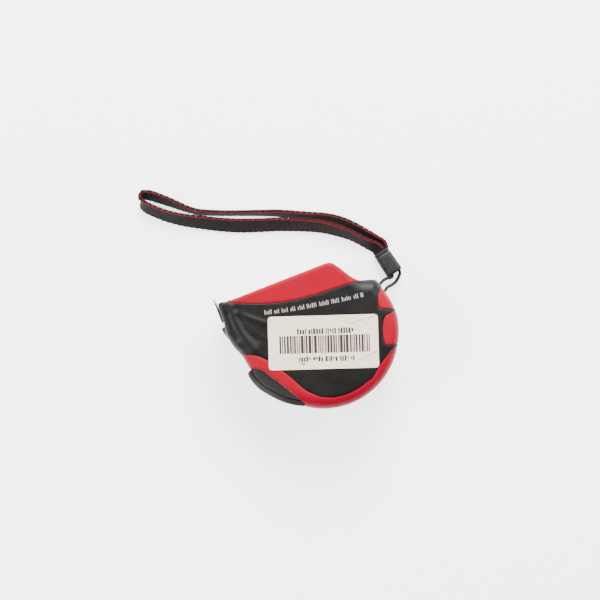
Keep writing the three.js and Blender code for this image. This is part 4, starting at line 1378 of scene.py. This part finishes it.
def add_thumb_grip():
    """The ribbed strip. It stays clear of the groove that its front slides over."""
    low, high, spacing = BUTTON["low"], BUTTON["high"], PAD_STRIP["spacing"]
    line = resample(button_curve(0, 160)[3:-3], spacing, closed=False)
    inner_line = resample(button_curve(PAD_STRIP["thickness"], 160)[3:-3], spacing, closed=False)
    stops = np.linspace(0, 1, len(line))
    inner_line = points_at(stops, np.linspace(0, 1, len(inner_line)), inner_line)
    from_crown = inner_line - CROWN
    stretch = (TRACK["groove"] + PAD_STRIP["groove_clear"]) / np.linalg.norm(from_crown, axis=1)
    stretch[stops > PAD_STRIP["groove_share"]] = 1
    inner_line = CROWN + from_crown * np.maximum(stretch, 1)[:, None]
    rings = []
    for i, (outer, inner) in enumerate(zip(line, inner_line)):
        rib = PAD_STRIP["rib"] * abs(math.sin(math.pi * spacing * i / PAD_STRIP["rib_pitch"]))
        out = unit(outer - inner)
        to_end = min(i, len(line) - 1 - i) * spacing / PAD_STRIP["end_round"]
        close = math.sqrt(max(0.05, 1 - (1 - min(1, to_end)) ** 2))
        face = outer - out * (PAD_STRIP["sunk"] - rib + PAD_STRIP["end_drop"] * (1 - close))
        ring = [[*(inner + (face - inner) * u), low + z] for u, z in PAD_EDGE]
        ring.extend([*face, z] for z in np.linspace(low + 2, high - 2, 5))
        ring.extend([*(inner + (face - inner) * u), high - z] for u, z in PAD_EDGE[::-1])
        under = inner - out * BUTTON["gap"]
        ring.extend([*under, z] for z in (high - PAD_STRIP["under"], low + PAD_STRIP["under"]))
        rings.append(np.array(ring))
    make_piece("lock_thumb_grip", tube(rings), PAD, "lock", ["lock_thumb_pad"])


# ---------- hook and rivets ----------
HOOK = {
    "plate": -43.1, "tongue": -32.6, "foot": 37.6, "thickness": 0.9, "hole_y": 32.6, "hole": 1.0,
    "lift": 0.95, "bend": 0.8, "tongue_half": 7.5, "plate_half": 9.5, "back_round": 1.5, "foot_round": 2.2,
    "flat_by": 3, "spacing": 0.5, "columns": 39, "bevel": 0.12,
}
RIVETS = [(-40.2, -4), (-40.2, 4), (-35.4, 0)]


def camber(z):
    """How far the blade is arched over its edges."""
    return BLADE["camber"] * (1 - ((z - CASE_MIDDLE) / BLADE["half"]) ** 2)


def pressed_steel(points, triangles, hole, thickness):
    """Sheet steel round a middle surface, without the part where the hole's field is positive."""
    points, triangles = removed(points, triangles, hole)
    outer = points + vertex_normals(points, triangles) * thickness / 2
    return thickened(outer, triangles, thickness)


def add_hook():
    """A tongue that lies on the blade, a bend and a plate, as rows of x, fall and half width."""
    bend, spacing = HOOK["bend"], HOOK["spacing"]
    rows = [(x, 0, HOOK["tongue_half"]) for x in np.arange(HOOK["tongue"], HOOK["plate"] + bend, -spacing)]
    for degrees in range(0, 91, 15):
        angle = math.radians(degrees)
        half = HOOK["tongue_half"] + (HOOK["plate_half"] - HOOK["tongue_half"]) * degrees / 90
        rows.append((HOOK["plate"] + bend - bend * math.sin(angle), bend * (1 - math.cos(angle)), half))
    deepest = HOOK["foot"] - BLADE["y"] - HOOK["lift"]
    falls = [*np.arange(rows[-1][1] + spacing, deepest, spacing), deepest]
    rows += [(HOOK["plate"], fall, HOOK["plate_half"]) for fall in falls]
    columns = np.linspace(-1, 1, HOOK["columns"])
    points = []
    for index, (x, fall, half) in enumerate(rows):
        half -= drop(index * spacing, HOOK["back_round"])
        half -= drop((len(rows) - 1 - index) * spacing, HOOK["foot_round"])
        flatten = 1 - min(1, fall / HOOK["flat_by"])
        for z in CASE_MIDDLE + columns * half:
            points.append((x, BLADE["y"] + HOOK["lift"] + fall + camber(z) * flatten, z))
    points = np.array(points)
    hole = HOOK["hole"] - np.hypot(points[:, 1] - HOOK["hole_y"], points[:, 2] - CASE_MIDDLE)
    hole[points[:, 0] > HOOK["plate"] + 0.3] = -1
    triangles = grid_triangles(len(rows), len(columns), flipped=True)
    solid = pressed_steel(points, triangles, hole, HOOK["thickness"])
    hook = make_piece("end_hook_plate", solid, CHROME, "hook", ["end_hook"])
    bevelled(hook, HOOK["bevel"], 2)


def lathe(profile, centre, axis, steps=28):
    """Turns (radius, height) pairs about a line through centre along an axis, 'y' or 'z'."""
    rings = []
    for radius, height in profile:
        turns = np.arange(steps) * 2 * math.pi / steps
        u, v = max(radius, 0.01) * np.cos(turns), max(radius, 0.01) * np.sin(turns)
        level = np.full(steps, height)
        rings.append(np.column_stack((v, level, u) if axis == "y" else (u, v, level)) + centre)
    return tube(rings)


RIVET = {"low": -0.1, "high": 3.3}


def add_rivets():
    low, high = RIVET["low"], RIVET["high"]
    profile = [
        (0, low), (0.8, low + 0.02), (1.3, low + 0.14), (1.6, low + 0.4), (1.55, low + 0.6),
        (0.9, low + 0.62), (0.9, high - 0.52), (1.55, high - 0.5), (1.6, high - 0.3),
        (1.3, high - 0.12), (0.8, high), (0, high + 0.02),
    ]
    for index, (x, z) in enumerate(RIVETS, 1):
        shape = lathe(profile, (x, BLADE["y"], CASE_MIDDLE + z), "y")
        name = f"hook_rivet_{index}"
        make_piece(f"{name}_domed", shape, SCREW_STEEL, "blade", [name])


# ---------- screws and belt clip ----------
# A screw head's rings and its cross recess, as shares of its radius.
HEAD = {
    "rings": (0.02, 0.12, 0.2, 0.28, 0.38, 0.48, 0.58, 0.7, 0.82, 0.92, 0.98, 1.0), "steps": 48, "rim": 0.98,
    "slot": 0.17, "slot_wall": 0.08, "cross": 0.68, "cross_wall": 0.1, "depth": 0.55, "crown": 0.3,
}
SHANK = {"radius": 1.1, "tip_radius": 0.3, "point": 0.8, "sides": 12}


def cross_head(radius, low, high):
    """A pan head seen from below, with a cross recess. Its outer side is at low."""
    turns = np.arange(HEAD["steps"]) * 2 * math.pi / HEAD["steps"]
    rings = []
    for share in HEAD["rings"]:
        x, y = share * radius * np.cos(turns), share * radius * np.sin(turns)
        slot = np.minimum(np.abs(x), np.abs(y)) / radius - HEAD["slot"]
        cross = np.clip(-slot / HEAD["slot_wall"], 0, 1)
        cross = cross * np.clip((HEAD["cross"] - share) / HEAD["cross_wall"], 0, 1)
        rise = HEAD["crown"] * share**4 + HEAD["depth"] * cross * (high - low)
        rings.append(np.column_stack([x, y, low + rise]))
    rim = HEAD["rim"] * radius
    rings.append(np.column_stack([rim * np.cos(turns), rim * np.sin(turns), np.full(len(turns), high)]))
    points, faces = tube(rings)
    return points, [face[::-1] for face in faces]


def screw_shape(centre, radius, low, head_height, tip):
    """A screw standing on its head: the head's outer side is at low and its tip points up."""
    radius_at = [
        (SHANK["radius"], low + head_height - 0.1), (SHANK["radius"], tip - SHANK["point"]),
        (SHANK["tip_radius"], tip),
    ]
    shank = lathe(radius_at, (0, 0, 0), "z", SHANK["sides"])
    points, faces = joined([cross_head(radius, low, low + head_height), shank])
    return points + (*centre, 0), faces


def add_screws():
    """The screws stand where their CAD nodes do. Each name has its slot and its head's height."""
    names = {f"case_screw_{index}": ("screw_steel", 1.3) for index in range(1, len(SCREWS) + 1)}
    names["belt_clip_screw"] = ("clip_steel", 1.0)
    for name, (slot, head_height) in names.items():
        low, high = node_box(name)
        middle = (low + high) / 2
        radius = (high[0] - low[0]) / 2
        shape = screw_shape(middle[:2], radius, low[2], head_height, high[2])
        make_piece(f"{name}_cross", shape, SCREW_STEEL, "case", [name])


CLIP = {
    "half": 7, "thickness": 1.0, "screw_y": -20.5, "hole": 1.4, "spacing": 0.5, "lowest": 0.5, "columns": 25,
    "root_round": 1.2, "tip_round": 3.5, "bevel": 0.15,
}
CLIP_RIB = {"height": 0.35, "start": (-7, -5), "end": (12, 14), "side": (1.2, 2.2)}
# The clip's middle line as y and z.
CLIP_PATH = [
    (-26, 3.2), (-15.2, 3.2), (-13.8, 2.6), (-11.6, 1.0),
    (-10.4, 0.52), (17.3, 0.52), (18.6, 0.95), (22.5, 2.9),
]


def add_belt_clip():
    path = eased(resample(CLIP_PATH, CLIP["spacing"], closed=False), 3)
    path[:, 1] = np.maximum(path[:, 1], CLIP["lowest"])
    columns = np.linspace(-1, 1, CLIP["columns"])
    points = []
    for index, (y, z) in enumerate(path):
        half = CLIP["half"] - drop(index * CLIP["spacing"], CLIP["root_round"])
        half -= drop((len(path) - 1 - index) * CLIP["spacing"], CLIP["tip_round"])
        rib = CLIP_RIB["height"] * step_up(y, *CLIP_RIB["start"]) * (1 - step_up(y, *CLIP_RIB["end"]))
        for x in columns * half:
            points.append((x, y, z + rib * (1 - step_up(abs(x), *CLIP_RIB["side"]))))
    points = np.array(points)
    hole = CLIP["hole"] - np.hypot(points[:, 0], points[:, 1] - CLIP["screw_y"])
    solid = pressed_steel(points, grid_triangles(len(path), len(columns)), hole, CLIP["thickness"])
    nodes = ["belt_clip_root", "belt_clip_arm"]
    clip = make_piece("belt_clip_spring", solid, CLIP_STEEL, None, nodes)
    bevelled(clip, CLIP["bevel"], 2)
    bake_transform(clip)


# ---------- CAD nodes that stay ----------
KEPT = (
    (INNER_PLASTIC, ("arbor_post", "mouth_guide", "reel_drum", "reel_cover")),
    (PAD, ("mouth_bumper", "brake_shoe")),
    (SCREW_STEEL, ("strap_pin", "reel_washer_clip_side", "reel_washer_label_side")),
    (SPRING_STEEL, ("lock_detent_spring", "power_spring")),
    (TAPE, ("tape_coil", "tape_blade")),
)


def finish_kept_nodes():
    for material, names in KEPT:
        for name in names:
            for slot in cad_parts[name].material_slots:
                slot.material = material


# ---------- studio, in metres and watts ----------
FLOOR = {"size": 6, "z": -0.0002, "grey": 0.9, "roughness": 0.9, "glow": 2.6}
WORLD_GLOW = 0.15
WHITE = (1, 1, 1, 1)
AIM = (0, 0.02, 0.02)
# Each light's name, place, size and power.
LIGHTS = (
    ("key", (0.42, 0.85, 0.85), (0.6, 0.6), 44),
    ("left", (-0.95, 0.25, 0.75), (0.7, 0.9), 21),
    ("right", (0.9, 0.15, 0.8), (0.7, 0.9), 12),
)


def add_stage():
    bpy.ops.mesh.primitive_plane_add(size=FLOOR["size"], location=(0, 0, FLOOR["z"]))
    floor = bpy.context.object
    floor.name = "floor"
    finish = Finish("pale_floor", (*[FLOOR["grey"]] * 3, 1), FLOOR["roughness"])
    finish.shader.inputs["Emission Color"].default_value = WHITE
    finish.shader.inputs["Emission Strength"].default_value = FLOOR["glow"]
    floor.data.materials.append(finish.material)
    world = bpy.data.worlds.new("studio")
    world.use_nodes = True
    world.node_tree.nodes["Background"].inputs["Color"].default_value = WHITE
    world.node_tree.nodes["Background"].inputs["Strength"].default_value = WORLD_GLOW
    bpy.context.scene.world = world


def add_light(name, location, size, power):
    data = bpy.data.lights.new(name, "AREA")
    data.shape = "RECTANGLE"
    data.size, data.size_y = size
    data.energy = power
    light = bpy.data.objects.new(name, data)
    bpy.context.collection.objects.link(light)
    light.location = location
    light.rotation_euler = (Vector(AIM) - Vector(location)).to_track_quat("-Z", "Y").to_euler()


add_case_halves()
add_pockets()
add_label()
add_label_print()
add_label_crease_shade()
add_grip_print()
add_lock_body()
add_thumb_grip()
add_hook()
add_rivets()
add_screws()
add_belt_clip()
finish_kept_nodes()
add_stage()
for light in LIGHTS:
    add_light(*light)
